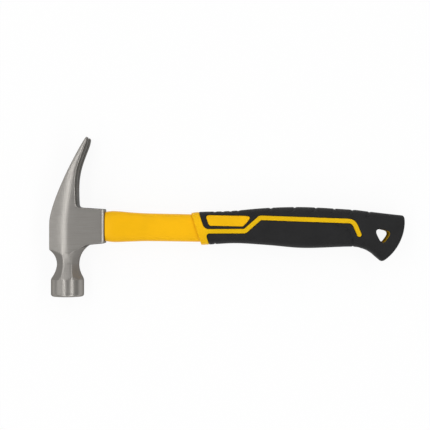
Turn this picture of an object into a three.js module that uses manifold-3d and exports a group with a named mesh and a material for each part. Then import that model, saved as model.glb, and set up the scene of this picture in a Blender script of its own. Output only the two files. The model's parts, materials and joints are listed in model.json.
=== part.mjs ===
// Straight-claw hammer: a forged head on a jacketed fibreglass shaft with a two-shot grip.
// Millimetres. The hammer lies on its side: X runs along the handle towards the butt,
// Y along the head towards the claw, and Z up through its thickness.

import * as THREE from 'three';
import { mergeVertices } from 'three/addons/utils/BufferGeometryUtils.js';
import Module from 'manifold-3d';

const wasm = await Module();
wasm.setup();

// Clearance between pieces that touch
const FIT = 0.3;

// Poll and neck. Reaches run along the head from the handle's centreline
const FACE_REACH = 62.8;
const FACE_BEVEL = 2.2;
const POLL_DIAMETER = 29.7;
const POLL_LENGTH = 15.2;
const NECK_WIDTH = 19.4;
const NECK_WAIST_REACH = 33.7;
const NECK_RIDGE_REACH = 24.5;
const NECK_CROWN_REACH = 20.2;

// Cheeks. Their ridges run from the neck to the claw, and the flat crown surrounds the eye
const CROWN_HEIGHT = 15.4;
const CROWN_WIDTH = 19.4;
const CHEEK_WIDTH = 25;
const RIDGE_AHEAD = 0.6;
const RIDGE_BAND = 3.6;
const RIDGE_FOOT = 6.2;
// How far the neck's side facets sit ahead of the poll's axis
const NECK_FACET_SHIFT = 0.9;
// How the neck's thickness grows away from its waist: 1 is a straight slope
const NECK_SLOPE = 1.2;
// How far each edge of the neck runs straight before it curves out to the cheek, as a share
const NECK_BEND = 0.65;
// Where the socket's edge line starts on the neck, as a share of the facet that it crosses
const NECK_EDGE_SHARE = 0.8;

// Handle socket, measured from the poll's axis
const SOCKET_LENGTH = 34;
const SOCKET_CLAW_SIDE = 15.75;
const SOCKET_POLL_SIDE = 14.95;
const SOCKET_WIDTH = 22.8;
const SOCKET_BEVEL = 1.9;
const SOCKET_EDGE = 1;
const SOCKET_BEVEL_DROP = 0.5;
const SOCKET_FLARE = 1.4;
const SOCKET_FLARE_LENGTH = 14.3;

// Claw
const CLAW_REACH = 80.5;
const CLAW_TIP_X = 18.7;
const CLAW_ROOT_X = 9.3;
const CLAW_WIDTH = 33;
const CLAW_TIP_THICKNESS = 2.4;
const CLAW_EDGE = 2.4;
const CLAW_EDGE_SHARE = 0.42;
const CLAW_EDGE_FALL = 1.2;
const CLAW_FALL = 0.06;
const CLAW_BACK_PULL = 22;
const CLAW_BACK_LEAN = new THREE.Vector2(2, 58);
const CLAW_INNER_PULL = new THREE.Vector2(8.2, 40);
const CLAW_INNER_LEAN = new THREE.Vector2(10.5, 54);
const CROTCH_RADIUS = 2.6;
const SLOT_LENGTH = 46;
const SLOT_MOUTH = 11;
const SLOT_ROOT_WIDTH = 2.8;
const TINE_CORNER_DROP = 3.4;
const TINE_SLOT_DROP = 2;
// The ridge's course over the claw, as it leaves the cheek
const RIDGE_LINE = [[1.4, 15.8], [4, 38], [9.4, 55], [19.2, 79]];
// Most of the room on each side of the ridge that its flat band may take, as a share
const RIDGE_LIMIT = 0.85;
// Way across the claw's end, from its back to its inner curve
const CLAW_TIP_WAY = new THREE.Vector2(0.6, -0.8);

// Eye through the head, tapering from the socket's mouth to the crown
const EYE_MOUTH_HEIGHT = 25.2;
const EYE_MOUTH_WIDTH = 17.8;
const EYE_CROWN_HEIGHT = 23.4;
const EYE_CROWN_WIDTH = 15;

// Squareness of the oval sections: 2 is an ellipse
const EYE_POWER = 3;
const CORE_POWER = 3.5;
const JACKET_POWER = 3;

// Fibreglass core and the resin round it
const CORE_HEIGHT = 15;
const CORE_WIDTH = 10.5;
const RESIN_COVER = 3;
const RESIN_RECESS = 2;
const CORE_TO_HANG_HOLE = 8;

// Jacket. Its sections run from the socket's mouth, and its tenon fills the outer end of the eye
const TENON_LENGTH = 13;
const JACKET_ENGAGEMENT = 4;
const JACKET_MOUTH_BACK = 13.4;
const JACKET_MOUTH_BELLY = 13.1;
const JACKET_MOUTH_HALF = 10.3;
const JACKET_SWELL_AT = 8.5;
const JACKET_SWELL_BACK = 13.95;
const JACKET_SWELL_BELLY = 13.95;
const JACKET_SWELL_HALF = 10.6;
const JACKET_TAPER_AT = 25;
const JACKET_TAPER_BACK = 12.6;
const JACKET_TAPER_BELLY = 13.4;
const JACKET_TAPER_HALF = 9.9;
const JACKET_SHANK_AT = 42;
const JACKET_SHANK_BACK = 11.8;
const JACKET_SHANK_BELLY = 13.1;
const JACKET_SHANK_HALF = 9.7;
const JACKET_END_BACK = 11;
const JACKET_END_BELLY = 13.8;
const JACKET_END_HALF = 9.8;

// Grip. The collar's front crosses the handle's centreline at COLLAR_REACH from the poll's axis
const COLLAR_REACH = 115.2;
const COLLAR_WIDTH = 7.1;
const COLLAR_LEAN = 0.32;
const OVERMOULD_WALL = 2.4;
const BUTT_ROUND = 2.4;

// Sections of the grip, from its collar to its butt: at is measured along the centreline from the
// collar, back and belly from the centreline, and half is half the thickness
const COLLAR_BACK = 13.1;
const COLLAR_BELLY = 16;
const COLLAR_HALF = 12.3;
const WAIST_AT = 34;
const WAIST_BACK = 13.8;
const WAIST_BELLY = 14.8;
const WAIST_HALF = 12.3;
const RISE_AT = 65;
const RISE_BACK = 16.6;
const RISE_BELLY = 16.4;
const RISE_HALF = 13.4;
const PALM_AT = 98;
const PALM_BACK = 17.4;
const PALM_BELLY = 18.8;
const PALM_HALF = 14.2;
const FINGER_AT = 139;
const FINGER_BACK = 15;
const FINGER_BELLY = 17.6;
const FINGER_HALF = 12.6;
const HEEL_AT = 153;
const HEEL_BACK = 13.6;
const HEEL_BELLY = 21;
const HEEL_HALF = 12.1;
const HEEL_BOW = 0.6;
const HOOK_AT = 169;
const HOOK_BACK = 11.2;
const HOOK_BELLY = 27.6;
const HOOK_HALF = 11.8;
const HOOK_BOW = 3.4;
const BUTT_AT = 180.6;
const BUTT_BACK = 9.4;
const BUTT_BELLY = 30.6;
const BUTT_HALF = 11.6;
const BUTT_BOW = 6.4;

// Yellow pad and stripe on both sides of the grip, measured from the collar
const PAD_CORNERS = [[9, 10.4], [12.8, 0.7], [42.4, 0.2], [50.4, 9.4]];
const PAD_ROUND = 2.2;
const PAD_RECESS = 0.4;
const STRIPE_WIDTH = 4.5;
const STRIPE_ROUTE = [[3, -4.1], [44.1, -4], [57.7, 7.9], [140.8, 4.9], [146, -7.1]];
const STRIPE_BEND = 4.5;
const STRIPE_CORNER = 1;
const STRIPE_FLARE_BACK = 4.6;
const STRIPE_FLARE_BELLY = 2.6;

// Hang hole through the butt, a rounded triangle measured from the collar
const HANG_HOLE_CORNERS = [[157.6, 0.2], [165.4, -18.2], [177.4, -4]];
const HANG_HOLE_ROUND = 4.4;

// Grooves across the grip's back
const GROOVES_AT = [68.1, 89.3, 108.2, 124.9, 141, 156.2];
const GROOVE_WIDTH = 2.4;
const GROOVE_DEPTH = 0.8;
const GROOVE_DROP = 5;
const GROOVE_LEAN = 0.9;
const FRONT_GROOVES_AT = 17.5;
const FRONT_GROOVE_PITCH = 7;
const FRONT_GROOVE_COUNT = 4;
const FRONT_GROOVE_DROP = 1.4;

// Fineness of the curved faces
const HANDLE_SIDES = 24;
const STEPS_PER_SECTION = 3;
const JACKET_STEPS_PER_SECTION = 3;
const CLAW_STEPS = 11;
const CHEEK_STEPS = 4;
const NECK_STEPS = 5;
const POLL_SIDES = 48;
const ARC_STEPS = 4;
const HALVINGS = 40;

// A cutting block that is larger than the hammer
const BEYOND = 400;

// Solids

function signedVolume(position, index) {
  const a = new THREE.Vector3();
  const b = new THREE.Vector3();
  const c = new THREE.Vector3();
  let volume = 0;
  for (let i = 0; i < index.length; i += 3) {
    a.fromArray(position, 3 * index[i]);
    b.fromArray(position, 3 * index[i + 1]);
    c.fromArray(position, 3 * index[i + 2]);
    volume += a.dot(b.cross(c)) / 6;
  }
  return volume;
}

function toSolid(geometry) {
  geometry.deleteAttribute('normal');
  geometry.deleteAttribute('uv');
  const merged = mergeVertices(geometry, 1e-4);
  const vertProperties = new Float32Array(merged.attributes.position.array);
  const triVerts = new Uint32Array(merged.index.array);
  if (signedVolume(vertProperties, triVerts) < 0) {
    for (let i = 0; i < triVerts.length; i += 3) {
      [triVerts[i], triVerts[i + 1]] = [triVerts[i + 1], triVerts[i]];
    }
  }
  return new wasm.Manifold(new wasm.Mesh({ numProp: 3, vertProperties, triVerts }));
}

function toMesh(name, solid, material) {
  const mesh = solid.getMesh();
  const geometry = new THREE.BufferGeometry();
  geometry.setAttribute('position', new THREE.BufferAttribute(mesh.vertProperties, 3));
  geometry.setIndex(new THREE.BufferAttribute(mesh.triVerts, 1));
  geometry.computeVertexNormals();
  const piece = new THREE.Mesh(geometry, material);
  piece.name = name;
  return piece;
}

// Closed skin through rings of points. Each end is closed by strips from side to side
function loft(rings) {
  const sides = rings[0].length;
  const position = rings.flat().flatMap((point) => point.toArray());
  const index = [];
  for (let i = 0; i + 1 < rings.length; i++) {
    for (let j = 0; j < sides; j++) {
      const a = i * sides + j;
      const b = i * sides + ((j + 1) % sides);
      index.push(a, b, a + sides, b, b + sides, a + sides);
    }
  }
  const cap = [];
  for (let j = 1; j < sides / 2; j++) {
    cap.push([j - 1, j, (sides - j + 1) % sides]);
    cap.push([j, sides - j, (sides - j + 1) % sides]);
  }
  cap.push([sides / 2 - 1, sides / 2, sides / 2 + 1]);
  const last = (rings.length - 1) * sides;
  for (const [a, b, c] of cap.slice(1)) index.push(b, a, c, last + a, last + b, last + c);
  const geometry = new THREE.BufferGeometry();
  geometry.setAttribute('position', new THREE.Float32BufferAttribute(position, 3));
  geometry.setIndex(index);
  return toSolid(geometry);
}

// Side-view outline extruded through the whole thickness
function through(shape) {
  const geometry = new THREE.ExtrudeGeometry(shape, {
    depth: BEYOND, bevelEnabled: false, curveSegments: ARC_STEPS,
  });
  geometry.translate(0, 0, -BEYOND / 2);
  return toSolid(geometry);
}

// Outlines

function corners(points, from = 0) {
  return points.map(([x, y]) => new THREE.Vector2(x + from, y));
}

// Corner points moved outwards by grow; the points run anticlockwise
function grown(points, grow) {
  return points.map((point, i) => {
    const before = points[(i + points.length - 1) % points.length];
    const after = points[(i + 1) % points.length];
    const inward = point.clone().sub(before).normalize();
    const outward = after.clone().sub(point).normalize();
    const normals = [inward, outward].map((way) => new THREE.Vector2(way.y, -way.x));
    const mitre = normals[0].clone().add(normals[1]).normalize();
    return point.clone().addScaledVector(mitre, grow / mitre.dot(normals[0]));
  });
}

function roundedShape(points, radius) {
  const shape = new THREE.Shape();
  points.forEach((point, i) => {
    const before = points[(i + points.length - 1) % points.length].clone().sub(point).normalize();
    const after = points[(i + 1) % points.length].clone().sub(point).normalize();
    const setback = radius / Math.tan(before.angleTo(after) / 2);
    const start = point.clone().addScaledVector(before, setback);
    const end = point.clone().addScaledVector(after, setback);
    if (i === 0) shape.moveTo(start.x, start.y);
    else shape.lineTo(start.x, start.y);
    shape.quadraticCurveTo(point.x, point.y, end.x, end.y);
  });
  shape.closePath();
  return shape;
}

// Band of even width along a route with rounded bends and a round far end
function bandShape(route, width, bends) {
  const half = width / 2;
  const ways = route.slice(1).map((point, i) => point.clone().sub(route[i]).normalize());
  const left = (way) => new THREE.Vector2(-way.y, way.x);
  const beside = (point, way, sign) => point.clone().addScaledVector(left(way), sign * half);
  // One bend on one side of the band: where it starts, its corner and where it ends
  const bend = (i, sign) => {
    const [before, after] = [ways[i - 1], ways[i]];
    const turn = Math.atan2(before.cross(after), before.dot(after));
    const mitre = left(before).add(left(after)).normalize();
    const corner = route[i].clone().addScaledVector(mitre, sign * half / mitre.dot(left(before)));
    const setback = Math.max(bends[i - 1] - sign * half * Math.tan(turn / 2), 0);
    const start = corner.clone().addScaledVector(before, -setback);
    return [start, corner, corner.clone().addScaledVector(after, setback)];
  };
  const shape = new THREE.Shape();
  const follow = ([start, corner, end]) => {
    shape.lineTo(start.x, start.y);
    shape.quadraticCurveTo(corner.x, corner.y, end.x, end.y);
  };
  const inner = ways.slice(1).map((_, i) => i + 1);
  const first = beside(route[0], ways[0], 1);
  const foot = beside(route[0], ways[0], -1);
  const last = route[route.length - 1];
  const turnedFrom = left(ways[ways.length - 1]).angle();
  shape.moveTo(first.x, first.y);
  for (const i of inner) follow(bend(i, 1));
  shape.absarc(last.x, last.y, half, turnedFrom, turnedFrom - Math.PI, true);
  for (const i of inner.toReversed()) follow(bend(i, -1).reverse());
  shape.lineTo(foot.x, foot.y);
  return shape;
}

// Slanted slice of the handle, parallel to the collar
function collarSlice(from, to) {
  const edge = (x, y) => new THREE.Vector2(COLLAR_REACH + x - COLLAR_LEAN * y, y);
  const reach = FACE_REACH;
  return through(new THREE.Shape([edge(from, -reach), edge(to, -reach), edge(to, reach), edge(from, reach)]));
}

// Handle sections

// Oval ring across the handle: power 2 is an ellipse, and a higher power is squarer
function ovalRing(back, belly, half, power, bow = 0) {
  const middle = back.clone().add(belly).multiplyScalar(0.5);
  const across = back.clone().sub(belly).multiplyScalar(0.5);
  const outward = new THREE.Vector2(across.y, -across.x).normalize();
  const ring = [];
  for (let j = 0; j < HANDLE_SIDES; j++) {
    const angle = 2 * Math.PI * j / HANDLE_SIDES;
    const up = Math.sign(Math.cos(angle)) * Math.abs(Math.cos(angle)) ** (2 / power);
    const wide = Math.sign(Math.sin(angle)) * Math.abs(Math.sin(angle)) ** (2 / power);
    const at = middle.clone().addScaledVector(across, up).addScaledVector(outward, bow * (1 - up * up));
    ring.push(new THREE.Vector3(at.x, at.y, half * wide));
  }
  return ring;
}

function uprightRing(x, height, width, power) {
  const back = new THREE.Vector2(x, height / 2);
  const belly = new THREE.Vector2(x, -height / 2);
  return ovalRing(back, belly, width / 2, power);
}

// Sections as they follow each other: lean tilts one in the side view, bow curves it out towards
// the butt, and power is its squareness
const JACKET_SECTIONS = [
  { at: 0, back: JACKET_MOUTH_BACK, belly: JACKET_MOUTH_BELLY, half: JACKET_MOUTH_HALF },
  { at: JACKET_SWELL_AT, back: JACKET_SWELL_BACK, belly: JACKET_SWELL_BELLY, half: JACKET_SWELL_HALF },
  { at: JACKET_TAPER_AT, back: JACKET_TAPER_BACK, belly: JACKET_TAPER_BELLY, half: JACKET_TAPER_HALF },
  { at: JACKET_SHANK_AT, back: JACKET_SHANK_BACK, belly: JACKET_SHANK_BELLY, half: JACKET_SHANK_HALF },
];
const GRIP_SECTIONS = [
  { at: 0, back: COLLAR_BACK, belly: COLLAR_BELLY, half: COLLAR_HALF, lean: COLLAR_LEAN, power: 2.8 },
  { at: WAIST_AT, back: WAIST_BACK, belly: WAIST_BELLY, half: WAIST_HALF, lean: 0.2, power: 2.6 },
  { at: RISE_AT, back: RISE_BACK, belly: RISE_BELLY, half: RISE_HALF, lean: 0.08, power: 2.5 },
  { at: PALM_AT, back: PALM_BACK, belly: PALM_BELLY, half: PALM_HALF, lean: 0, power: 2.5 },
  { at: FINGER_AT, back: FINGER_BACK, belly: FINGER_BELLY, half: FINGER_HALF, lean: 0, power: 2.7 },
  { at: HEEL_AT, back: HEEL_BACK, belly: HEEL_BELLY, half: HEEL_HALF, lean: 0, bow: HEEL_BOW, power: 3 },
  { at: HOOK_AT, back: HOOK_BACK, belly: HOOK_BELLY, half: HOOK_HALF, lean: -0.3, bow: HOOK_BOW, power: 3.4 },
  { at: BUTT_AT, back: BUTT_BACK, belly: BUTT_BELLY, half: BUTT_HALF, lean: -0.5, bow: BUTT_BOW, power: 3.8 },
];

// Share of a rising function of a share at which it passes zero
function shareOf(rise) {
  let low = 0;
  let high = 1;
  for (let i = 0; i < HALVINGS; i++) {
    const middle = (low + high) / 2;
    if (rise(middle) < 0) low = middle;
    else high = middle;
  }
  return low;
}

function shareAtY(curve, y) {
  return shareOf((share) => curve(share).y - y);
}

// Smooth run of values through sections
function smoothRun(values) {
  const curve = new THREE.CatmullRomCurve3(values, false, 'catmullrom');
  return (share) => curve.getPoint(share);
}

// Head

const POLL_RADIUS = POLL_DIAMETER / 2;
const SHOULDER_REACH = FACE_REACH - POLL_LENGTH;
const CROTCH_Y = SOCKET_CLAW_SIDE + SOCKET_FLARE;
const RIDGE_SIDE = RIDGE_AHEAD + RIDGE_BAND / 2;
// How steeply the plane between the crown and the ridge rises
const CHEEK_SLOPE = (CHEEK_WIDTH - CROWN_WIDTH) / 2 / (CROWN_HEIGHT + RIDGE_AHEAD - RIDGE_BAND / 2);
const OCTAGON = Math.tan(Math.PI / 8);

const clawBack = new THREE.CubicBezierCurve(
  new THREE.Vector2(-CROWN_HEIGHT, -SOCKET_POLL_SIDE / 2),
  new THREE.Vector2(-CROWN_HEIGHT, CLAW_BACK_PULL),
  CLAW_BACK_LEAN,
  new THREE.Vector2(CLAW_TIP_X, CLAW_REACH),
);
const backPoint = (share) => clawBack.getPoint(share);
const clawInner = new THREE.CubicBezierCurve(
  new THREE.Vector2(CLAW_ROOT_X, CROTCH_Y + CROTCH_RADIUS),
  CLAW_INNER_PULL,
  CLAW_INNER_LEAN,
  new THREE.Vector2(CLAW_TIP_X, CLAW_REACH).add(
    CLAW_TIP_WAY.clone().multiplyScalar(CLAW_TIP_THICKNESS),
  ),
);

// The ridge's place across the head at y
const ridgeLine = smoothRun([
  new THREE.Vector3(RIDGE_AHEAD, -NECK_RIDGE_REACH, 0),
  new THREE.Vector3(RIDGE_AHEAD, 0, 0),
  ...RIDGE_LINE.map(([x, y]) => new THREE.Vector3(x, y, 0)),
]);
function ridgeX(y) {
  return ridgeLine(shareAtY(ridgeLine, y)).x;
}

// Half thickness of the cheek's handle-side plane, which runs on into the socket
function cheekHalf(x) {
  const share = (x - RIDGE_SIDE) / (SOCKET_LENGTH - RIDGE_SIDE);
  return THREE.MathUtils.lerp(CHEEK_WIDTH, SOCKET_WIDTH, share) / 2;
}

// Ring of the forging through its five feature lines and their mirror images
function headRing(crown, ridgeCrown, ridgeHandle, edge, handle) {
  const near = [crown, ridgeCrown, ridgeHandle, edge, handle];
  const far = near.map((p) => new THREE.Vector3(p.x, p.y, -p.z)).reverse();
  return [...near, ...far];
}

// Ring of the neck: half its width and half its thickness
function octagonRing(y, wide, thick) {
  const ridge = new THREE.Vector3(NECK_FACET_SHIFT + OCTAGON * wide, y, thick);
  const handle = new THREE.Vector3(wide, y, OCTAGON * thick);
  return headRing(
    new THREE.Vector3(-wide, y, OCTAGON * thick),
    new THREE.Vector3(NECK_FACET_SHIFT - OCTAGON * wide, y, thick),
    ridge,
    ridge.clone().lerp(handle, NECK_EDGE_SHARE),
    handle,
  );
}

// Poll blank and the lower half of the neck, from the face to the waist
function pollRings() {
  const blank = POLL_RADIUS + FACE_BEVEL;
  const blankEnds = [-FACE_REACH, -SHOULDER_REACH - FACE_BEVEL];
  const rings = blankEnds.map((y) => octagonRing(y, blank, blank));
  for (let i = NECK_STEPS; i >= 0; i--) {
    const share = i / NECK_STEPS;
    const wide = THREE.MathUtils.lerp(NECK_WIDTH / 2, POLL_RADIUS, share * share);
    const thick = THREE.MathUtils.lerp(NECK_WIDTH / 2, POLL_RADIUS, share ** NECK_SLOPE);
    rings.push(octagonRing(THREE.MathUtils.lerp(-NECK_WAIST_REACH, -SHOULDER_REACH, share), wide, thick));
  }
  return rings;
}

// Last ring of the neck, which is the crease where its facets meet the cheeks
function creaseRing() {
  const foot = RIDGE_FOOT / 2;
  const handleX = SOCKET_LENGTH - SOCKET_FLARE_LENGTH;
  const half = cheekHalf(handleX);
  const handleY = -SOCKET_POLL_SIDE - SOCKET_FLARE;
  return headRing(
    new THREE.Vector3(-CROWN_HEIGHT, -NECK_CROWN_REACH, CROWN_WIDTH / 2),
    new THREE.Vector3(RIDGE_AHEAD - foot, -NECK_RIDGE_REACH, CHEEK_WIDTH / 2),
    new THREE.Vector3(RIDGE_AHEAD + foot, -NECK_RIDGE_REACH, CHEEK_WIDTH / 2),
    new THREE.Vector3(handleX, handleY + SOCKET_EDGE, half),
    new THREE.Vector3(handleX, handleY, half - SOCKET_EDGE),
  );
}

// Upper half of the neck: each feature line leaves the waist upright and curves out to the crease
function neckRings() {
  const waist = octagonRing(-NECK_WAIST_REACH, NECK_WIDTH / 2, NECK_WIDTH / 2);
  const crease = creaseRing();
  const rings = [];
  for (let i = 1; i <= NECK_STEPS; i++) {
    const share = i / NECK_STEPS;
    rings.push(waist.map((start, j) => {
      const end = crease[j];
      const bend = new THREE.Vector3(start.x, THREE.MathUtils.lerp(start.y, end.y, NECK_BEND), 0);
      const point = new THREE.QuadraticBezierCurve3(start, bend, end).getPoint(share);
      return point.setZ(THREE.MathUtils.lerp(start.z, end.z, share ** NECK_SLOPE));
    }));
  }
  return rings;
}

// Cheek rings from one side of the socket's mouth to the other
function cheekRings() {
  const edgeX = SOCKET_LENGTH - SOCKET_BEVEL;
  const rings = [];
  for (let i = 0; i <= CHEEK_STEPS; i++) {
    const share = i / CHEEK_STEPS;
    const y = THREE.MathUtils.lerp(-SOCKET_POLL_SIDE, SOCKET_CLAW_SIDE, share);
    const inset = THREE.MathUtils.lerp(SOCKET_EDGE - SOCKET_POLL_SIDE, SOCKET_CLAW_SIDE - SOCKET_EDGE, share);
    const ridge = ridgeX(y);
    rings.push(headRing(
      new THREE.Vector3(backPoint(shareAtY(backPoint, y)).x, y, CROWN_WIDTH / 2),
      new THREE.Vector3(ridge - RIDGE_BAND / 2, y, CHEEK_WIDTH / 2),
      new THREE.Vector3(ridge + RIDGE_BAND / 2, y, CHEEK_WIDTH / 2),
      new THREE.Vector3(edgeX, inset, cheekHalf(edgeX)),
      new THREE.Vector3(SOCKET_LENGTH, y, cheekHalf(edgeX) - SOCKET_BEVEL_DROP),
    ));
  }
  return rings;
}

// Ring of the claw between a point on its back and a point on its inner curve
function clawRing(back, inner, share, widestEdge) {
  const band = THREE.MathUtils.lerp(RIDGE_BAND, CLAW_TIP_THICKNESS, share);
  const across = inner.clone().sub(back);
  const reach = across.length();
  const way = across.clone().normalize();
  const at = (distance, half) => {
    const point = back.clone().addScaledVector(way, distance);
    return new THREE.Vector3(point.x, point.y, half);
  };
  const ridge = THREE.MathUtils.lerp(CHEEK_WIDTH, CLAW_WIDTH, share) / 2;
  const edge = Math.min(widestEdge, reach * CLAW_EDGE_SHARE);
  const ridgeAt = reach * shareOf((place) => {
    const point = back.clone().lerp(inner, place);
    return point.x - ridgeX(point.y);
  });
  const middle = Math.min(ridgeAt, (reach - edge) * RIDGE_LIMIT);
  const spread = Math.min(band / 2, middle * RIDGE_LIMIT, (reach - edge - middle) * RIDGE_LIMIT);
  const crown = ridge - CHEEK_SLOPE * (middle - spread);
  const rim = ridge - CLAW_FALL * (reach - edge - middle - spread);
  return headRing(
    at(0, crown),
    at(middle - spread, ridge),
    at(middle + spread, ridge),
    at(reach - edge, rim),
    at(reach, rim - edge * CLAW_EDGE_FALL),
  );
}

// Fillet between the socket and the claw, then the claw to its tip
function clawRings() {
  const rings = [];
  const rootShare = shareAtY(backPoint, CROTCH_Y + CROTCH_RADIUS);
  const footShare = shareAtY(backPoint, SOCKET_CLAW_SIDE + FIT);
  const corner = new THREE.Vector2(CLAW_ROOT_X + CROTCH_RADIUS, CROTCH_Y + CROTCH_RADIUS);
  for (let i = 0; i < ARC_STEPS; i++) {
    const share = i / ARC_STEPS;
    const angle = Math.PI / 2 * (1 - share);
    const inner = corner.clone().sub(
      new THREE.Vector2(Math.cos(angle), Math.sin(angle)).multiplyScalar(CROTCH_RADIUS),
    );
    const back = backPoint(THREE.MathUtils.lerp(footShare, rootShare, share));
    rings.push(clawRing(back, inner, 0, THREE.MathUtils.lerp(SOCKET_EDGE, CLAW_EDGE, share)));
  }
  for (let i = 0; i <= CLAW_STEPS; i++) {
    const share = i / CLAW_STEPS;
    const back = backPoint(THREE.MathUtils.lerp(rootShare, 1, share));
    rings.push(clawRing(back, clawInner.getPoint(share), share, CLAW_EDGE));
  }
  return rings;
}

// The poll is turned, so a revolved envelope rounds the blank below the neck's waist
function turnedEnvelope() {
  const profile = [new THREE.Vector2(0, -FACE_REACH)];
  for (let i = 0; i <= ARC_STEPS; i++) {
    const angle = Math.PI / 2 * i / ARC_STEPS;
    profile.push(new THREE.Vector2(
      POLL_RADIUS - FACE_BEVEL * (1 - Math.sin(angle)),
      -FACE_REACH + FACE_BEVEL * (1 - Math.cos(angle)),
    ));
  }
  profile.push(
    new THREE.Vector2(POLL_RADIUS, -NECK_WAIST_REACH),
    new THREE.Vector2(BEYOND, -NECK_WAIST_REACH),
    new THREE.Vector2(BEYOND, BEYOND),
    new THREE.Vector2(0, BEYOND),
  );
  return toSolid(new THREE.LatheGeometry(profile, POLL_SIDES));
}

// V slot between the tines, with the rounded ends of the tines, cut along X
function clawCut() {
  const widest = CLAW_WIDTH;
  const corner = CLAW_WIDTH / 2;
  const mouth = SLOT_MOUTH / 2;
  const root = SLOT_ROOT_WIDTH / 2;
  const peak = (corner + mouth) / 2;
  const rootY = CLAW_REACH - SLOT_LENGTH;
  const shape = new THREE.Shape();
  shape.moveTo(-widest, BEYOND);
  shape.lineTo(-widest, CLAW_REACH - 2 * TINE_CORNER_DROP);
  shape.lineTo(-corner, CLAW_REACH - TINE_CORNER_DROP);
  shape.quadraticCurveTo(-corner, CLAW_REACH, -peak, CLAW_REACH);
  shape.quadraticCurveTo(-mouth, CLAW_REACH, -mouth, CLAW_REACH - TINE_SLOT_DROP);
  shape.lineTo(-root, rootY + root);
  shape.absarc(0, rootY + root, root, Math.PI, 2 * Math.PI, false);
  shape.lineTo(mouth, CLAW_REACH - TINE_SLOT_DROP);
  shape.quadraticCurveTo(mouth, CLAW_REACH, peak, CLAW_REACH);
  shape.quadraticCurveTo(corner, CLAW_REACH, corner, CLAW_REACH - TINE_CORNER_DROP);
  shape.lineTo(widest, CLAW_REACH - 2 * TINE_CORNER_DROP);
  shape.lineTo(widest, BEYOND);
  const geometry = new THREE.ExtrudeGeometry(shape, {
    depth: BEYOND, bevelEnabled: false, curveSegments: ARC_STEPS,
  });
  geometry.translate(0, 0, -BEYOND / 2);
  geometry.rotateY(Math.PI / 2);
  return toSolid(geometry);
}

// Oval of the eye at x, made smaller by gap all round
function eyeRing(x, gap) {
  const share = (x + CROWN_HEIGHT) / (SOCKET_LENGTH + CROWN_HEIGHT);
  const height = THREE.MathUtils.lerp(EYE_CROWN_HEIGHT, EYE_MOUTH_HEIGHT, share);
  const width = THREE.MathUtils.lerp(EYE_CROWN_WIDTH, EYE_MOUTH_WIDTH, share);
  return uprightRing(x, height - 2 * gap, width - 2 * gap, EYE_POWER);
}

function hammerHead() {
  const forging = loft([...pollRings(), ...neckRings(), ...cheekRings(), ...clawRings()]);
  const eye = loft([eyeRing(-2 * CROWN_HEIGHT, 0), eyeRing(2 * SOCKET_LENGTH, 0)]);
  return forging.intersect(turnedEnvelope()).subtract(clawCut()).subtract(eye);
}

// Core, resin and jacket

const CORE_START = -CROWN_HEIGHT + RESIN_RECESS + RESIN_COVER + FIT;
const HANG_HOLE_START = COLLAR_REACH + Math.min(...HANG_HOLE_CORNERS.map(([x]) => x));
const CORE_FINISH = HANG_HOLE_START - CORE_TO_HANG_HOLE;
const TENON_START = SOCKET_LENGTH - TENON_LENGTH;

function coreRod(gap) {
  const height = CORE_HEIGHT + 2 * gap;
  const width = CORE_WIDTH + 2 * gap;
  return loft([
    uprightRing(CORE_START - gap, height, width, CORE_POWER),
    uprightRing(CORE_FINISH + gap, height, width, CORE_POWER),
  ]);
}

function resinBond() {
  const plug = loft([
    eyeRing(-CROWN_HEIGHT + RESIN_RECESS, FIT),
    eyeRing(TENON_START - FIT, FIT),
  ]);
  return plug.subtract(coreRod(FIT));
}

// Jacket's outer form, made larger by gap all round
function jacketBody(gap) {
  const start = SOCKET_LENGTH + FIT;
  const finish = COLLAR_REACH + JACKET_ENGAGEMENT + COLLAR_WIDTH + COLLAR_LEAN * JACKET_END_BELLY;
  const sections = JACKET_SECTIONS.map((section) => ({ ...section, x: start + section.at }));
  sections.push({ x: finish, back: JACKET_END_BACK, belly: JACKET_END_BELLY, half: JACKET_END_HALF });
  const back = smoothRun(sections.map(({ x, back: y }) => new THREE.Vector3(x, y, 0)));
  const belly = smoothRun(sections.map(({ x, belly: y, half }) => new THREE.Vector3(x, -y, half)));
  const steps = JACKET_STEPS_PER_SECTION * (sections.length - 1);
  const rings = [];
  for (let i = 0; i <= steps; i++) {
    const top = back(i / steps);
    const low = belly(i / steps);
    rings.push(ovalRing(
      new THREE.Vector2(top.x, top.y + gap),
      new THREE.Vector2(low.x, low.y - gap),
      low.z + gap,
      JACKET_POWER,
    ));
  }
  return loft(rings);
}

function shaftJacket() {
  const tenon = loft([eyeRing(TENON_START, FIT), eyeRing(SOCKET_LENGTH + 2 * FIT, FIT)]);
  const end = collarSlice(JACKET_ENGAGEMENT, BEYOND);
  return jacketBody(0).subtract(end).add(tenon).subtract(coreRod(FIT));
}

// Grip

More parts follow.
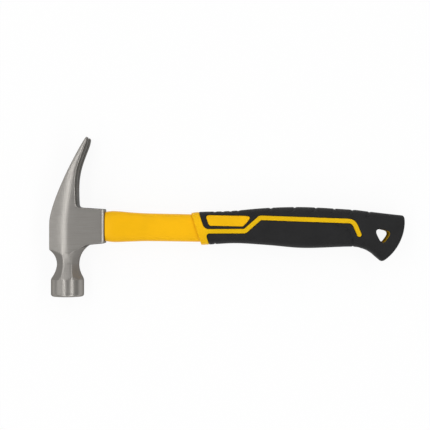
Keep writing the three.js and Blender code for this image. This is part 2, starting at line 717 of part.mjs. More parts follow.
// Grip's outer form, set in by inset all round, with its butt edge rounded
function gripBody(inset) {
  const ends = GRIP_SECTIONS.map(({ at, back, belly, half, lean, bow = 0, power }) => {
    const x = COLLAR_REACH + at;
    return {
      back: new THREE.Vector3(x - lean * back, back, half),
      belly: new THREE.Vector3(x + lean * belly, -belly, bow),
      power: new THREE.Vector3(power, 0, 0),
    };
  });
  const back = smoothRun(ends.map((end) => end.back));
  const belly = smoothRun(ends.map((end) => end.belly));
  const power = smoothRun(ends.map((end) => end.power));
  const steps = STEPS_PER_SECTION * (ends.length - 1);
  const ringAt = (share, shrink, push) => {
    const top = back(share);
    const low = belly(share);
    const way = new THREE.Vector2(top.x - low.x, top.y - low.y).normalize();
    const out = new THREE.Vector2(way.y, -way.x).multiplyScalar(push);
    return ovalRing(
      new THREE.Vector2(top.x, top.y).addScaledVector(way, -shrink).add(out),
      new THREE.Vector2(low.x, low.y).addScaledVector(way, shrink).add(out),
      top.z - shrink,
      power(share).x,
      Math.max(low.z, 0),
    );
  };
  const lastRun = ends[ends.length - 1].back.distanceTo(ends[ends.length - 2].back);
  const butt = 1 - inset / lastRun / (ends.length - 1);
  const rings = [];
  for (let i = 0; i < steps; i++) rings.push(ringAt(butt * i / steps, inset, 0));
  for (let i = 0; i <= ARC_STEPS; i++) {
    const angle = Math.PI / 2 * i / ARC_STEPS;
    const shrink = inset + BUTT_ROUND * (1 - Math.cos(angle));
    rings.push(ringAt(butt, shrink, BUTT_ROUND * Math.sin(angle)));
  }
  return loft(rings);
}

function padThrough(grow) {
  const points = grown(corners(PAD_CORNERS, COLLAR_REACH), grow);
  return through(roundedShape(points, PAD_ROUND + grow));
}

function stripeThrough(grow) {
  const route = corners(STRIPE_ROUTE, COLLAR_REACH);
  return through(bandShape(route, STRIPE_WIDTH + 2 * grow, [STRIPE_CORNER, STRIPE_CORNER, STRIPE_BEND]));
}

// Root of the stripe, flared where it leaves the collar
function stripeFootThrough(grow) {
  const [, y] = STRIPE_ROUTE[0];
  const edge = (height) => COLLAR_REACH + COLLAR_WIDTH + grow - COLLAR_LEAN * height;
  const top = y + STRIPE_WIDTH / 2 + grow;
  const low = y - STRIPE_WIDTH / 2 - grow;
  const shape = new THREE.Shape();
  shape.moveTo(edge(top + STRIPE_FLARE_BACK), top + STRIPE_FLARE_BACK);
  shape.quadraticCurveTo(edge(top), top, edge(top) + STRIPE_FLARE_BACK, top);
  shape.lineTo(edge(low) + STRIPE_FLARE_BACK, low);
  shape.lineTo(edge(low) + STRIPE_FLARE_BELLY, low);
  shape.quadraticCurveTo(edge(low), low, edge(low - STRIPE_FLARE_BELLY), low - STRIPE_FLARE_BELLY);
  shape.lineTo(edge(y) - COLLAR_WIDTH / 2, y);
  return through(shape);
}

function hangHole() {
  return through(roundedShape(corners(HANG_HOLE_CORNERS, COLLAR_REACH), HANG_HOLE_ROUND));
}

function gripSleeve() {
  const outer = gripBody(0);
  const collar = outer.intersect(collarSlice(-COLLAR_REACH, COLLAR_WIDTH));
  const stripe = outer.intersect(stripeThrough(0).add(stripeFootThrough(0)));
  const pad = gripBody(PAD_RECESS).intersect(padThrough(0));
  const counterbore = jacketBody(FIT).intersect(collarSlice(-COLLAR_REACH, JACKET_ENGAGEMENT + FIT));
  return gripBody(OVERMOULD_WALL).add(collar).add(stripe).add(pad)
    .subtract(counterbore).subtract(coreRod(FIT)).subtract(hangHole());
}

// Slanted slots over the grip's back, as deep as GROOVE_DEPTH
function backGrooves() {
  const floor = gripBody(GROOVE_DEPTH);
  const front = Array.from({ length: FRONT_GROOVE_COUNT }, (_, i) => ({
    at: FRONT_GROOVES_AT + i * FRONT_GROOVE_PITCH, drop: FRONT_GROOVE_DROP,
  }));
  const grooves = [...front, ...GROOVES_AT.map((at) => ({ at, drop: GROOVE_DROP }))];
  const back = smoothRun(GRIP_SECTIONS.map(({ at, back: y, lean }) => (
    new THREE.Vector3(y, at - lean * y, 0)
  )));
  return grooves.map(({ at, drop }) => {
    const top = back(shareAtY(back, at)).x;
    const x = COLLAR_REACH + at;
    const edge = (dx, dy) => new THREE.Vector2(x + dx + GROOVE_LEAN * dy, top + dy);
    const half = GROOVE_WIDTH / 2;
    const slot = [edge(-half, -drop), edge(half, -drop), edge(half, drop), edge(-half, drop)];
    return through(new THREE.Shape(slot)).subtract(floor);
  });
}

function gripOvermould() {
  const cavity = gripBody(OVERMOULD_WALL - FIT);
  let cover = gripBody(0).subtract(collarSlice(-COLLAR_REACH, COLLAR_WIDTH + FIT));
  for (const groove of backGrooves()) cover = cover.subtract(groove);
  return cover.subtract(cavity).subtract(stripeThrough(FIT)).subtract(stripeFootThrough(FIT))
    .subtract(padThrough(FIT)).subtract(hangHole());
}

// Assembly

const steel = new THREE.MeshStandardMaterial({ color: 0x9c9994, roughness: 0.35, metalness: 1 });
const fibreglass = new THREE.MeshStandardMaterial({ color: 0xd8d2b8, roughness: 0.6, metalness: 0 });
const resin = new THREE.MeshStandardMaterial({ color: 0x4a3a26, roughness: 0.4, metalness: 0 });
const jacketYellow = new THREE.MeshStandardMaterial({ color: 0xf0b50d, roughness: 0.45, metalness: 0 });
const sleeveYellow = new THREE.MeshStandardMaterial({ color: 0xe6b914, roughness: 0.45, metalness: 0 });
const softBlack = new THREE.MeshStandardMaterial({ color: 0x2d2d2d, roughness: 0.75, metalness: 0 });

const hammer = new THREE.Group();
hammer.add(
  toMesh('hammer_head', hammerHead(), steel),
  toMesh('fibreglass_core', coreRod(0), fibreglass),
  toMesh('epoxy_bond', resinBond(), resin),
  toMesh('shaft_jacket', shaftJacket(), jacketYellow),
  toMesh('grip_sleeve', gripSleeve(), sleeveYellow),
  toMesh('grip_overmould', gripOvermould(), softBlack),
);

// The origin is under the middle of the hammer, on the surface that it lies on
const box = new THREE.Box3().setFromObject(hammer);
const middle = box.getCenter(new THREE.Vector3());
hammer.position.set(-middle.x, -middle.y, -box.min.z);

export default hammer;
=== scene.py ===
"""Claw hammer: a forged head on a jacketed fibreglass shaft with a two-shot grip."""

import json
import math

import bmesh
import bpy
from bpy.props import FloatProperty, FloatVectorProperty, PointerProperty
from bpy.types import Operator, Panel, PropertyGroup
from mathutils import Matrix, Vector


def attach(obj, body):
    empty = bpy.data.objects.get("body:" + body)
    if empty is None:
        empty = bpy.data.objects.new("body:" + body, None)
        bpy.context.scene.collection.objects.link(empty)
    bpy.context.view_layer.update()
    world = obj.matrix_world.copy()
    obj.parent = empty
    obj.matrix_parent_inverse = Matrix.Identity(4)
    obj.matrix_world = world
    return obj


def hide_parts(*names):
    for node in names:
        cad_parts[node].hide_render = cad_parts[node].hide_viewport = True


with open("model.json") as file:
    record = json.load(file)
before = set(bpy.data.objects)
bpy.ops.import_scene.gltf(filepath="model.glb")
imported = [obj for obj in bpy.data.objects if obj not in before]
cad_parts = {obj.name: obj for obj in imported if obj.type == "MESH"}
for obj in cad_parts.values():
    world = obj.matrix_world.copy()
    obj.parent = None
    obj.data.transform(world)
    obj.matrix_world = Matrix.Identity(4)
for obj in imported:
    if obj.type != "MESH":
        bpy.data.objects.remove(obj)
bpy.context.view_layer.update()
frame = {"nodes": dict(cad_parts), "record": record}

bl_info = {
    "name": "Claw hammer",
    "version": (1, 0, 0),
    "blender": (4, 5, 0),
    "location": "View3D > Sidebar > Hammer",
    "description": "Models a claw hammer's head, shaft and two-shot grip on its CAD frame",
    "category": "Add Mesh",
}

# Shapes are written in millimetres from the poll's axis, the handle's centreline and the mid-plane
MM = 0.001
FACE_REACH = 62.8
STRIKING_FACE = frame["record"]["mounts"][0]["pos_m"]
HOME = Vector(STRIKING_FACE) + Vector((0, FACE_REACH * MM, 0))
BEYOND = 300
SAME_PLACE = 1e-4

# Head: feature lines of the forging
FACE_DOME = 0.3
DOME_STEPS = 6
FACE_BEVEL = 2.2
NECK_WAIST_REACH = 33.7
NECK_RIDGE_REACH = 24.5
NECK_CROWN_REACH = 20.7
NECK_BEND = 0.65
NECK_SHIFT = 0.55
NECK_FACET_SHIFT = 0.4
NECK_SLOPE = 1.2
NECK_CREST = 0.12
NECK_ROLL = 0.13
NECK_SWELL = 0.05
NECK_SIDE = 0.46
NECK_EDGE_SHARE = 0.8
RIDGE_X = -1.2
RIDGE_LINE = [(RIDGE_X, -24), (RIDGE_X, 0), (0.2, 16), (4, 42), (6, 56), (17.6, 79.5)]
RIDGE_BAND = 7.2
RIDGE_FALL = 0.5
RIDGE_STEPS = 8
RIDGE_LIMIT = 0.85
PLANE_BULGE = 0.018
BULGE_LIMIT = 0.125
PEAK_LIMITS = (0.2, 0.8)
PLANE_STEPS = 4
RIDGE_FOOT = 6.2
SOCKET_CLAW_SIDE = 15.75
SOCKET_POLL_SIDE = 14.95
SOCKET_BEVEL = 2.4
SOCKET_EDGE = 1
SOCKET_BEVEL_DROP = 1
SOCKET_FLARE = 1.4
SOCKET_FLARE_LENGTH = 14.3
CLAW_TIP = (18.7, 80.5)
CLAW_TIP_WAY = (0.6, -0.8)
CLAW_TIP_THICKNESS = 3.4
CLAW_ROUND = 0.5
CLAW_ROUND_START = 0.9
CLAW_ROOT_X = 10
CLAW_EDGE = 1.5
CLAW_TIP_EDGE = 3.2
CLAW_EDGE_SHARE = 0.42
CLAW_EDGE_FALL = 1.2
CLAW_FALL = 0.06
CLAW_BACK_START = 2.9
CLAW_BACK_PULL = 22.4
CLAW_BACK_LEAN = (13.8, 75)
CLAW_INNER_PULL = (7.9, 48.7)
CLAW_INNER_LEAN = (11.8, 54)
CROTCH_RADIUS = 2.6
SLOT_ROOT_WIDTH = 2.8
TINE_CORNER_DROP = 3.4
TINE_SLOT_DROP = 2

# Where the head's other finishes and painted shade lie: margins in millimetres, and how far a face has to
# lean
SOCKET_MARGIN = 3.5
CLAW_MARGIN = 1
SLOT_MARGIN = 0.4
SOCKET_EDGE_FACING = 0.5
SOCKET_EDGE_STEEP = 0.7
CLAW_CURVE_FACING = 0.45
CLAW_CURVE_STEEP = 0.8
CLAW_TIP_FACING = 0.5
SLOT_WALL_FACING = 0.4
NECK_SIDE_FACING = 0.25
POLL_SIDE_FACING = 0.4

# Eye, resin and shaft
FIT = 0.3
EYE_MOUTH = (25.2, 17.8)
EYE_CROWN = (23.4, 15)
EYE_POWER = 3
RESIN_RECESS = 2
RESIN_DOME = 0.4
TENON_LENGTH = 13
JACKET_POWER = 3
JACKET_ENGAGEMENT = 4
JACKET_STATIONS = [
    (0, 13.4, 13.1, 10.3),
    (8.5, 13.95, 13.95, 10.6),
    (25, 12.6, 13.4, 9.9),
    (42, 11.8, 13.1, 9.7),
]
JACKET_END = (11, 13.8, 9.8)
JACKET_EDGE = 0.5
JACKET_EDGE_STEPS = 3
JACKET_EDGE_ANGLE = math.radians(50)
JACKET_LEAN_START = 0.75

# Grip: at, back, belly, half, lean, bow and power of its sections from the collar to the butt
COLLAR_REACH = 115.2
COLLAR_LEAN = 0.32
GRIP_STATIONS = [
    (0, 12.3, 16.5, 12.3, COLLAR_LEAN, 0, 2.8),
    (9, 13.3, 16.1, 12.3, 0.29, 0, 2.75),
    (34, 14.05, 15, 12.3, 0.2, 0, 2.6),
    (65, 16.75, 16.8, 13.4, 0.08, 0, 2.5),
    (98, 17.55, 19.3, 14.2, 0, 0, 2.5),
    (138.6, 15.35, 18.1, 12.6, 0, 0, 2.7),
    (148, 14.65, 19.7, 12.3, 0.08, 0.25, 2.85),
    (153.6, 14, 22.9, 12.1, 0.13, 0.6, 3),
    (169.4, 11.5, 26.8, 11.8, -0.3, 3.4, 3.4),
    (180.9, 10.1, 30.8, 11.6, -0.48, 5.1, 3.8),
]
BUTT_ROUND = 2.4
COLLAR_SPAN = 50
PAD_CORNERS = [(8.5, 10.4), (12.3, 0.7), (42.6, 0.1), (51, 9.5)]
PAD_ROUND = 2.8
PAD_RECESS = 0.4
PAD_FRONT_MARGIN = 1.2
PAD_LOW_MARGIN = 0.8
PAD_END_MARGIN = 1.6
STRIPE_ROUTE = [(3, -4.1), (44.1, -4), (57.7, 7.9), (140.8, 4.9), (146, -7.1)]
STRIPE_BENDS = (1, 1, 4.5)
STRIPE_FLARES = (4.6, 4)
HANG_HOLE_CORNERS = [(158.6, -0.9), (166.7, -16.9), (175.6, -4.5)]
HANG_HOLE_ROUND = 3.9
HANG_HOLE_LINING = 1.1
HANG_HOLE_LIP = 1.6
# Where the painted shade on the hang hole's wall begins, along the grip
HOLE_SHADE_START = 150
STRIPE_FADE = (6, 13)
GROOVES_AT = (68.1, 89.3, 108.2, 124.9, 141, 156.2)
GROOVE_DROP = 5
GROOVE_LEAN = 0.9
FRONT_GROOVES_AT = (17.5, 24.5, 31.5, 38.5)
FRONT_GROOVE_DROP = 1.4
FRONT_GROOVE_DEPTH = 0.5
PANEL_LINE = [(124, 1.2), (129.4, 1.1), (134.3, -0.8), (137.6, -4.6), (140.2, -11.3), (142.4, -24)]
PANEL_BENDS = (1, 2, 2, 2)
BELLY_LINE = [(17.6, -13.5), (17.6, -18), (17.6, -24)]
PANEL_LINE_WIDTH = 1.2
PANEL_LINE_DEPTH = 0.8
SEAM = 0.12
SHOT_DEPTH = 2

# Tint of the steel seen edge-on, dark as painted shade in its grazing reflections
STEEL_EDGE_SHADE = (0.3, 0.29, 0.28, 1)

# Stage: the middle of the picture, the floor's size in metres and the share of it that shows white
PICTURE_MIDDLE = (132.7, 10.4)
FLOOR_SIZE = 20
FLOOR_GLOW = 0.91
SKY_STRENGTH = 0.4

# Soft boxes: name, place they face, distance, turn and tilt, size and power
SOFT_BOXES = [
    ("crown_box", (0, 0), 1.3, (180, 55), (0.9, 1.5), 3),
    ("crown_strip", (0, 0), 1.3, (180, 17.8), (0.17, 2.6), 6.4),
    ("handle_strip", (0, 0), 1.3, (0, 36.5), (0.17, 2.6), 7),
    ("face_box", PICTURE_MIDDLE, 1.4, (-90, 55), (0.35, 1.8), 3),
    ("claw_box", PICTURE_MIDDLE, 1.4, (90, 60), (0.35, 1.8), 3),
]

# Fineness of the curved faces, and rounds of smoothing on the softened pieces
HANDLE_SIDES = 96
STATION_STEPS = 10
NECK_STEPS = 12
CLAW_STEPS = 36
CHEEK_STEPS = 6
ARC_STEPS = 8
POLL_SIDES = 128
HALVINGS = 40
HEAD_ROUNDS = 14
HARD_ROUNDS = 8
SOFT_ROUNDS = 9
SOFT_KEEP = 0.74
SMOOTH_ANGLE = math.radians(40)


def length(name, description, default):
    """A size that a user would change, in metres."""
    return FloatProperty(name=name, description=description, default=default, unit="LENGTH")


def tone(name, description, default):
    """A colour that a user would change."""
    return FloatVectorProperty(
        name=name, description=description, default=(*default, 1), subtype="COLOR", size=4)


class HeadSettings(PropertyGroup):
    """Sizes and steel of the forged head."""

    poll_diameter: length("Poll diameter", "Across the turned poll", 0.0297)
    poll_length: length("Poll length", "From the face to the poll's shoulder", 0.0152)
    neck_width: length("Neck width", "Across the flats at the neck's waist", 0.0194)
    cheek_width: length("Cheek width", "Across the ridges of the two cheeks", 0.025)
    crown_height: length("Crown height", "From the poll's axis to the flat crown", 0.0154)
    crown_width: length("Crown width", "Across the flat crown", 0.019)
    socket_length: length("Socket length", "From the poll's axis to the socket's mouth", 0.034)
    socket_width: length("Socket width", "Thickness of the socket at its mouth", 0.022)
    claw_width: length("Claw width", "Across both tines at their tips", 0.033)
    slot_length: length("Slot length", "From the claw's tips to the root of its slot", 0.046)
    slot_mouth: length("Slot mouth", "Width of the slot between the tips", 0.011)
    grain: length("Grain", "Size of the voxels that round the edges", 0.00048)
    steel: tone("Ground steel", "Colour of the ground faces", (0.325, 0.31, 0.29))
    # Scale colour, kept dark as painted shade on the claw's inner curve, the socket's edges and the slot
    # walls
    scale: tone("Forging scale", "Colour of the faces left as forged", (0.094, 0.09, 0.082))


class ShaftSettings(PropertyGroup):
    """Finishes of the shaft and of what bonds it into the head."""

    yellow: tone("Jacket yellow", "Colour of the moulded jacket", (0.89, 0.468, 0.004))
    resin: tone("Resin", "Colour of the cast resin in the eye", (0.09, 0.055, 0.025))
    fibreglass: tone("Fibreglass", "Colour of the pultruded core", (0.69, 0.64, 0.48))


class GripSettings(PropertyGroup):
    """Sizes and finishes of the two-shot grip."""

    collar_width: length("Collar width", "Width of the hard collar along the handle", 0.0071)
    stripe_width: length("Stripe width", "Width of the hard stripe on each side", 0.0041)
    groove_width: length("Groove width", "Width of the grooves across the back", 0.0024)
    groove_depth: length("Groove depth", "Depth of the grooves across the back", 0.0007)
    soft_grain: length("Soft shot grain", "Size of the voxels that round the soft shot", 0.00046)
    hard_grain: length("Hard shot grain", "Size of the voxels that round the hard shot", 0.00035)
    yellow: tone("Sleeve yellow", "Colour of the hard shot", (0.87, 0.475, 0.004))
    stripe_yellow: tone(
        "Stripe yellow", "Colour of the hard shot along the stripe", (0.765, 0.462, 0.004))
    # The hole's wall colour: the sleeve's yellow darkened as painted shade
    lining: tone("Lining olive", "Colour of the hard shot inside the hang hole", (0.5, 0.32, 0.012))
    black: tone("Soft black", "Colour of the soft shot", (0.0105, 0.0105, 0.011))


class StageSettings(PropertyGroup):
    """Camera, floor and studio light."""

    camera_height: length("Camera height", "From the hammer's mid-plane to the camera", 1.05)
    frame_width: length("Frame width", "Width that the camera sees at the mid-plane", 0.387)
    floor: tone("Floor", "Colour of the pale floor", (0.9, 0.9, 0.9))


# Working with meshes


def spot(x, y, z=0.0):
    """A place in the frame of the row, from millimetres in the hammer's own layout."""
    return HOME + Vector((x, y, z)) * MM


def pick(piece):
    """Leaves only one object selected, in object mode."""
    if bpy.context.object and bpy.context.object.mode != "OBJECT":
        bpy.ops.object.mode_set(mode="OBJECT")
    bpy.ops.object.select_all(action="DESELECT")
    bpy.context.view_layer.objects.active = piece
    if piece:
        piece.select_set(True)


def skin(name, rings):
    """A filled circle takes the first ring's shape and is extruded to each of the others."""
    pick(None)
    bpy.ops.mesh.primitive_circle_add(
        vertices=len(rings[0]), radius=MM, fill_type="NGON", location=(0, 0, 0), rotation=(0, 0, 0))
    piece = bpy.context.object
    piece.name = name
    piece.data.name = name
    bpy.ops.object.mode_set(mode="EDIT")
    cage = bmesh.from_edit_mesh(piece.data)
    cage.verts.ensure_lookup_table()
    ring = list(range(len(rings[0])))
    for index, point in zip(ring, rings[0]):
        cage.verts[index].co = spot(*point)
    bmesh.update_edit_mesh(piece.data)
    for points in rings[1:]:
        bpy.ops.mesh.extrude_region_move()
        cage = bmesh.from_edit_mesh(piece.data)
        cage.verts.index_update()
        cage.verts.ensure_lookup_table()
        made = []
        for index, point in zip(ring, points):
            vert = cage.verts[index]
            far = next(e.other_vert(vert) for e in vert.link_edges if e.other_vert(vert).select)
            far.co = spot(*point)
            made.append(far.index)
        ring = made
        bmesh.update_edit_mesh(piece.data)
    bpy.ops.mesh.select_all(action="SELECT")
    bpy.ops.mesh.normals_make_consistent(inside=False)
    bpy.ops.object.mode_set(mode="OBJECT")
    return piece


def prism(name, outline, low=-BEYOND, high=BEYOND):
    """A side-view outline extruded through the thickness."""
    return skin(name, [[(x, y, low) for x, y in outline], [(x, y, high) for x, y in outline]])


def apply(piece, modifier):
    pick(piece)
    bpy.ops.object.modifier_apply(modifier=modifier.name)


def combine(piece, tool, operation, keep=False):
    """Boolean of two solids; the tool is used up unless it is kept."""
    modifier = piece.modifiers.new("boolean", "BOOLEAN")
    modifier.operation = operation
    modifier.solver = "MANIFOLD"
    modifier.object = tool
    apply(piece, modifier)
    if not keep:
        mesh = tool.data
        bpy.data.objects.remove(tool)
        bpy.data.meshes.remove(mesh)
    return piece


def join(pieces):
    """Several meshes as one object with the first one's name."""
    pick(pieces[0])
    for piece in pieces:
        piece.select_set(True)
    bpy.ops.object.join()
    return pieces[0]


def soften(piece, voxel, rounds, keep=1.0):
    """Even voxels and a light smoothing round every edge, as grinding and moulding do.

    Where keep is less than 1, flat places lose the triangles that they don't need.
    """
    remesh = piece.modifiers.new("remesh", "REMESH")
    remesh.mode = "VOXEL"
    remesh.voxel_size = voxel
    remesh.use_smooth_shade = True
    apply(piece, remesh)
    smooth = piece.modifiers.new("smooth", "SMOOTH")
    smooth.factor = 0.5
    smooth.iterations = rounds
    apply(piece, smooth)
    if keep < 1:
        thin = piece.modifiers.new("thin", "DECIMATE")
        thin.ratio = keep
        apply(piece, thin)


def finish_piece(piece, node, slot, *materials):
    """Gives a piece its finish and lets it stand for its CAD node."""
    piece.data.materials.clear()
    for material in materials:
        piece.data.materials.append(material)
    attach(piece, "root")
    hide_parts(node)


def other_finish(piece, wanted, slot=1):
    """The faces that are wanted take one of the piece's other finishes."""
    pick(piece)
    bpy.ops.object.mode_set(mode="EDIT")
    bpy.ops.mesh.select_all(action="DESELECT")
    cage = bmesh.from_edit_mesh(piece.data)
    for face in cage.faces:
        face.select_set(wanted(face))
    bmesh.update_edit_mesh(piece.data)
    piece.active_material_index = slot
    bpy.ops.object.material_slot_assign()
    bpy.ops.object.mode_set(mode="OBJECT")


# Lines and outlines


def mix(a, b, share):
    return a + (b - a) * share


def between(a, b, share):
    return tuple(mix(p, q, share) for p, q in zip(a, b))


def quadratic(a, b, c, share):
    return between(between(a, b, share), between(b, c, share), share)


def cubic(a, b, c, d, share):
    return between(quadratic(a, b, c, share), quadratic(b, c, d, share), share)


def last_share(before):
    """The share from 0 to 1 up to which a test holds, by halving."""
    low, high = 0.0, 1.0
    for _ in range(HALVINGS):
        middle = (low + high) / 2
        if before(middle):
            low = middle
        else:
            high = middle
    return low


def share_at_y(curve, y):
    return last_share(lambda share: curve(share)[1] < y)


def smooth_run(rows):
    """A function of a share from 0 to 1 that passes smoothly through rows of numbers."""
    before = tuple(2 * a - b for a, b in zip(rows[0], rows[1]))
    after = tuple(2 * a - b for a, b in zip(rows[-1], rows[-2]))
    line = [before, *rows, after]

    def row(share):
        place = min(max(share, 0), 1) * (len(rows) - 1)
        k = min(int(place), len(rows) - 2)
        t = place - k
        made = []
        for a, b, c, d in zip(*line[k:k + 4]):
            rise, fall = (c - a) / 2, (d - b) / 2
            made.append(
                (2 * t**3 - 3 * t**2 + 1) * b + (t**3 - 2 * t**2 + t) * rise
                + (3 * t**2 - 2 * t**3) * c + (t**3 - t**2) * fall)
        return made

    return row


def along(points, start=COLLAR_REACH):
    return [Vector((x + start, y)) for x, y in points]


def grown(points, grow):
    """Corner points moved outwards; the points run anticlockwise."""
    made = []
    for i, point in enumerate(points):
        into = (point - points[i - 1]).normalized()
        out = (points[(i + 1) % len(points)] - point).normalized()
        side = Vector((into.y, -into.x))
        mitre = (side + Vector((out.y, -out.x))).normalized()
        made.append(point + mitre * (grow / mitre.dot(side)))
    return made


def rounded(points, radius):
    """An outline with each corner rounded."""
    outline = []
    for i, point in enumerate(points):
        back = (points[i - 1] - point).normalized()
        out = (points[(i + 1) % len(points)] - point).normalized()
        setback = radius / math.tan(back.angle(out) / 2)
        start, end = point + back * setback, point + out * setback
        for step in range(ARC_STEPS + 1):
            outline.append(quadratic(start, point, end, step / ARC_STEPS))
    return outline


def band(route, width, bends):
    """Outline of an even band along a route, with rounded bends and a round far end."""
    half = width / 2
    ways = [(b - a).normalized() for a, b in zip(route, route[1:])]

    def left(way):
        return Vector((-way.y, way.x))

    def bend(i, sign):
        before, after = ways[i - 1], ways[i]
        turn = math.atan2(before.cross(after), before.dot(after))
        mitre = (left(before) + left(after)).normalized()
        corner = route[i] + mitre * (sign * half / mitre.dot(left(before)))
        setback = max(bends[i - 1] - sign * half * math.tan(turn / 2), 0)
        start, end = corner - before * setback, corner + after * setback
        return [quadratic(start, corner, end, step / ARC_STEPS) for step in range(ARC_STEPS + 1)]

    inner = range(1, len(route) - 1)
    outline = [tuple(route[0] + left(ways[0]) * half)]
    for i in inner:
        outline += bend(i, 1)
    turned = math.atan2(left(ways[-1]).y, left(ways[-1]).x)
    for step in range(2 * ARC_STEPS + 1):
        angle = turned - math.pi * step / (2 * ARC_STEPS)
        outline.append((route[-1].x + half * math.cos(angle), route[-1].y + half * math.sin(angle)))
    for i in reversed(inner):
        outline += reversed(bend(i, -1))
    outline.append(tuple(route[0] - left(ways[0]) * half))
    following = outline[1:] + outline[:1]
    return [p for p, q in zip(outline, following) if math.dist(p, q) > SAME_PLACE]


def oval(back, belly, half, power, bow=0.0):
    """An oval ring across the handle: power 2 is an ellipse, and a higher power is squarer."""
    middle = (back + belly) / 2
    across = (back - belly) / 2
    outward = Vector((across.y, -across.x)).normalized()
    ring = []
    for j in range(HANDLE_SIDES):
        angle = 2 * math.pi * j / HANDLE_SIDES
        up = math.copysign(abs(math.cos(angle)) ** (2 / power), math.cos(angle))
        wide = math.copysign(abs(math.sin(angle)) ** (2 / power), math.sin(angle))
        at = middle + across * up + outward * (bow * (1 - up * up))
        ring.append((at.x, at.y, half * wide))
    return ring


# Head


def claw_back(head):
    crown = -head.crown_height / MM
    return lambda share: cubic(
        (crown, CLAW_BACK_START), (crown, CLAW_BACK_PULL), CLAW_BACK_LEAN, CLAW_TIP, share)


def claw_inner(share):
    tip = tuple(p + w * CLAW_TIP_THICKNESS for p, w in zip(CLAW_TIP, CLAW_TIP_WAY))
    root = (CLAW_ROOT_X, SOCKET_CLAW_SIDE + SOCKET_FLARE + CROTCH_RADIUS)
    return cubic(root, CLAW_INNER_PULL, CLAW_INNER_LEAN, tip, share)


def ridge_x(y):
    """Where the ridge crosses the head at a height along it."""
    line = smooth_run(RIDGE_LINE)
    return line(share_at_y(line, y))[0]


def cheek_half(head, x):
    start = RIDGE_X + RIDGE_BAND / 2
    share = (x - start) / (head.socket_length / MM - start)
    return mix(head.cheek_width, head.socket_width, share) / MM / 2


def cheek_slope(head):
    """How steeply the plane between the crown and the ridge rises."""
    rise = (head.cheek_width - head.crown_width) / MM / 2 - RIDGE_FALL
    return rise / (head.crown_height / MM + RIDGE_X - RIDGE_BAND / 2)


def forging_ring(crown, ridge_crown, ridge_handle, edge, handle, bulge=0.0, crest=0.0, swell=0.0):
    """A ring through the forging's feature lines, mirrored.

    A bulged plane rolls over a soft ridge. Without a bulge the ridge rises by its crest. The side
    towards the handle swells out.
    """
    a, b = Vector(ridge_crown), Vector(ridge_handle)
    peak = (a + b) / 2 + Vector((0, 0, crest))
    if bulge:
        way = Vector((b.x - a.x, b.y - a.y, 0))
        width = way.length
        way.normalize()
        run = max((a - Vector(crown)).dot(way), 1e-6)
        bulge = min(bulge * run, max(a.z - crown[2], 0) * BULGE_LIMIT)
        rise = (a.z - crown[2] - 4 * bulge) / run
        fall = (b.z - edge[2]) / max((Vector(edge) - b).dot(way), 1e-6)
        run = (b.z - a.z + fall * width) / (rise + fall)
        low, high = (width * limit for limit in PEAK_LIMITS)
        run = min(max(run, low), high)
        peak = a + way * run + Vector((0, 0, rise * run))
    plane = []
    for k in range(PLANE_STEPS):
        share = k / PLANE_STEPS
        x, y, z = between(crown, a, share)
        plane.append((x, y, z + 4 * bulge * share * (1 - share)))
    ridge = [quadratic(a, peak, b, k / RIDGE_STEPS) for k in range(RIDGE_STEPS + 1)]
    out = Vector((b.z - edge[2], 0, edge[0] - b.x)).normalized()
    side = []
    for k in range(1, PLANE_STEPS):
        share = k / PLANE_STEPS
        side.append(tuple(b.lerp(Vector(edge), share) + out * 4 * swell * share * (1 - share)))
    near = [*plane, *ridge, *side, edge, handle]
    return near + [(x, y, -z) for x, y, z in reversed(near)]


def octagon_ring(y, wide, thick, x=0.0):
    """A ring of the neck: half its width and half its thickness round a centre at x."""
    facet = math.tan(math.pi / 8)
    middle = x + NECK_FACET_SHIFT
    ridge = (middle + facet * wide, y, thick - NECK_ROLL)
    handle = (x + wide, y, NECK_SIDE * thick)
    return forging_ring(
        (x - wide, y, facet * thick), (middle - facet * wide, y, thick + NECK_ROLL), ridge,
        between(ridge, handle, NECK_EDGE_SHARE), handle, crest=NECK_CREST, swell=NECK_SWELL)


def poll_rings(head):
    radius = head.poll_diameter / MM / 2
    shoulder = FACE_REACH - head.poll_length / MM
    blank = radius + FACE_BEVEL
    waist = head.neck_width / MM / 2
    rings = [octagon_ring(-y - FACE_BEVEL, blank, blank) for y in (FACE_REACH, shoulder)]
    for i in range(NECK_STEPS, -1, -1):
        share = i / NECK_STEPS
        wide, thick = mix(waist, radius, share**2), mix(waist, radius, share**NECK_SLOPE)
        y = mix(-NECK_WAIST_REACH, -shoulder, share)
        rings.append(octagon_ring(y, wide, thick, NECK_SHIFT * (1 - share)))
    return rings


def neck_rings(head):
    """Each feature line leaves the waist upright and curves out to the crease under the cheek."""
    foot = RIDGE_FOOT / 2
    cheek = head.cheek_width / MM / 2
    handle_x = head.socket_length / MM - SOCKET_FLARE_LENGTH
    handle_y = -SOCKET_POLL_SIDE - SOCKET_FLARE
    half = cheek_half(head, handle_x)
    crease = forging_ring(
        (-head.crown_height / MM, -NECK_CROWN_REACH, head.crown_width / MM / 2),
        (RIDGE_X - foot, -NECK_RIDGE_REACH, cheek - RIDGE_FALL / 2),
        (RIDGE_X + foot, -NECK_RIDGE_REACH, cheek),
        (handle_x, handle_y + SOCKET_EDGE, half),
        (handle_x, handle_y, half - SOCKET_EDGE), crest=RIDGE_FALL / 4)
    flat = head.neck_width / MM / 2
    waist = octagon_ring(-NECK_WAIST_REACH, flat, flat, NECK_SHIFT)
    rings = []
    for i in range(1, NECK_STEPS + 1):
        ring = []
        for start, end in zip(waist, crease):
            share = i / NECK_STEPS
            bend = (start[0], mix(start[1], end[1], NECK_BEND))
            x, y = quadratic(start[:2], bend, end[:2], share)
            ring.append((x, y, mix(start[2], end[2], share**NECK_SLOPE)))
        rings.append(ring)
    return rings


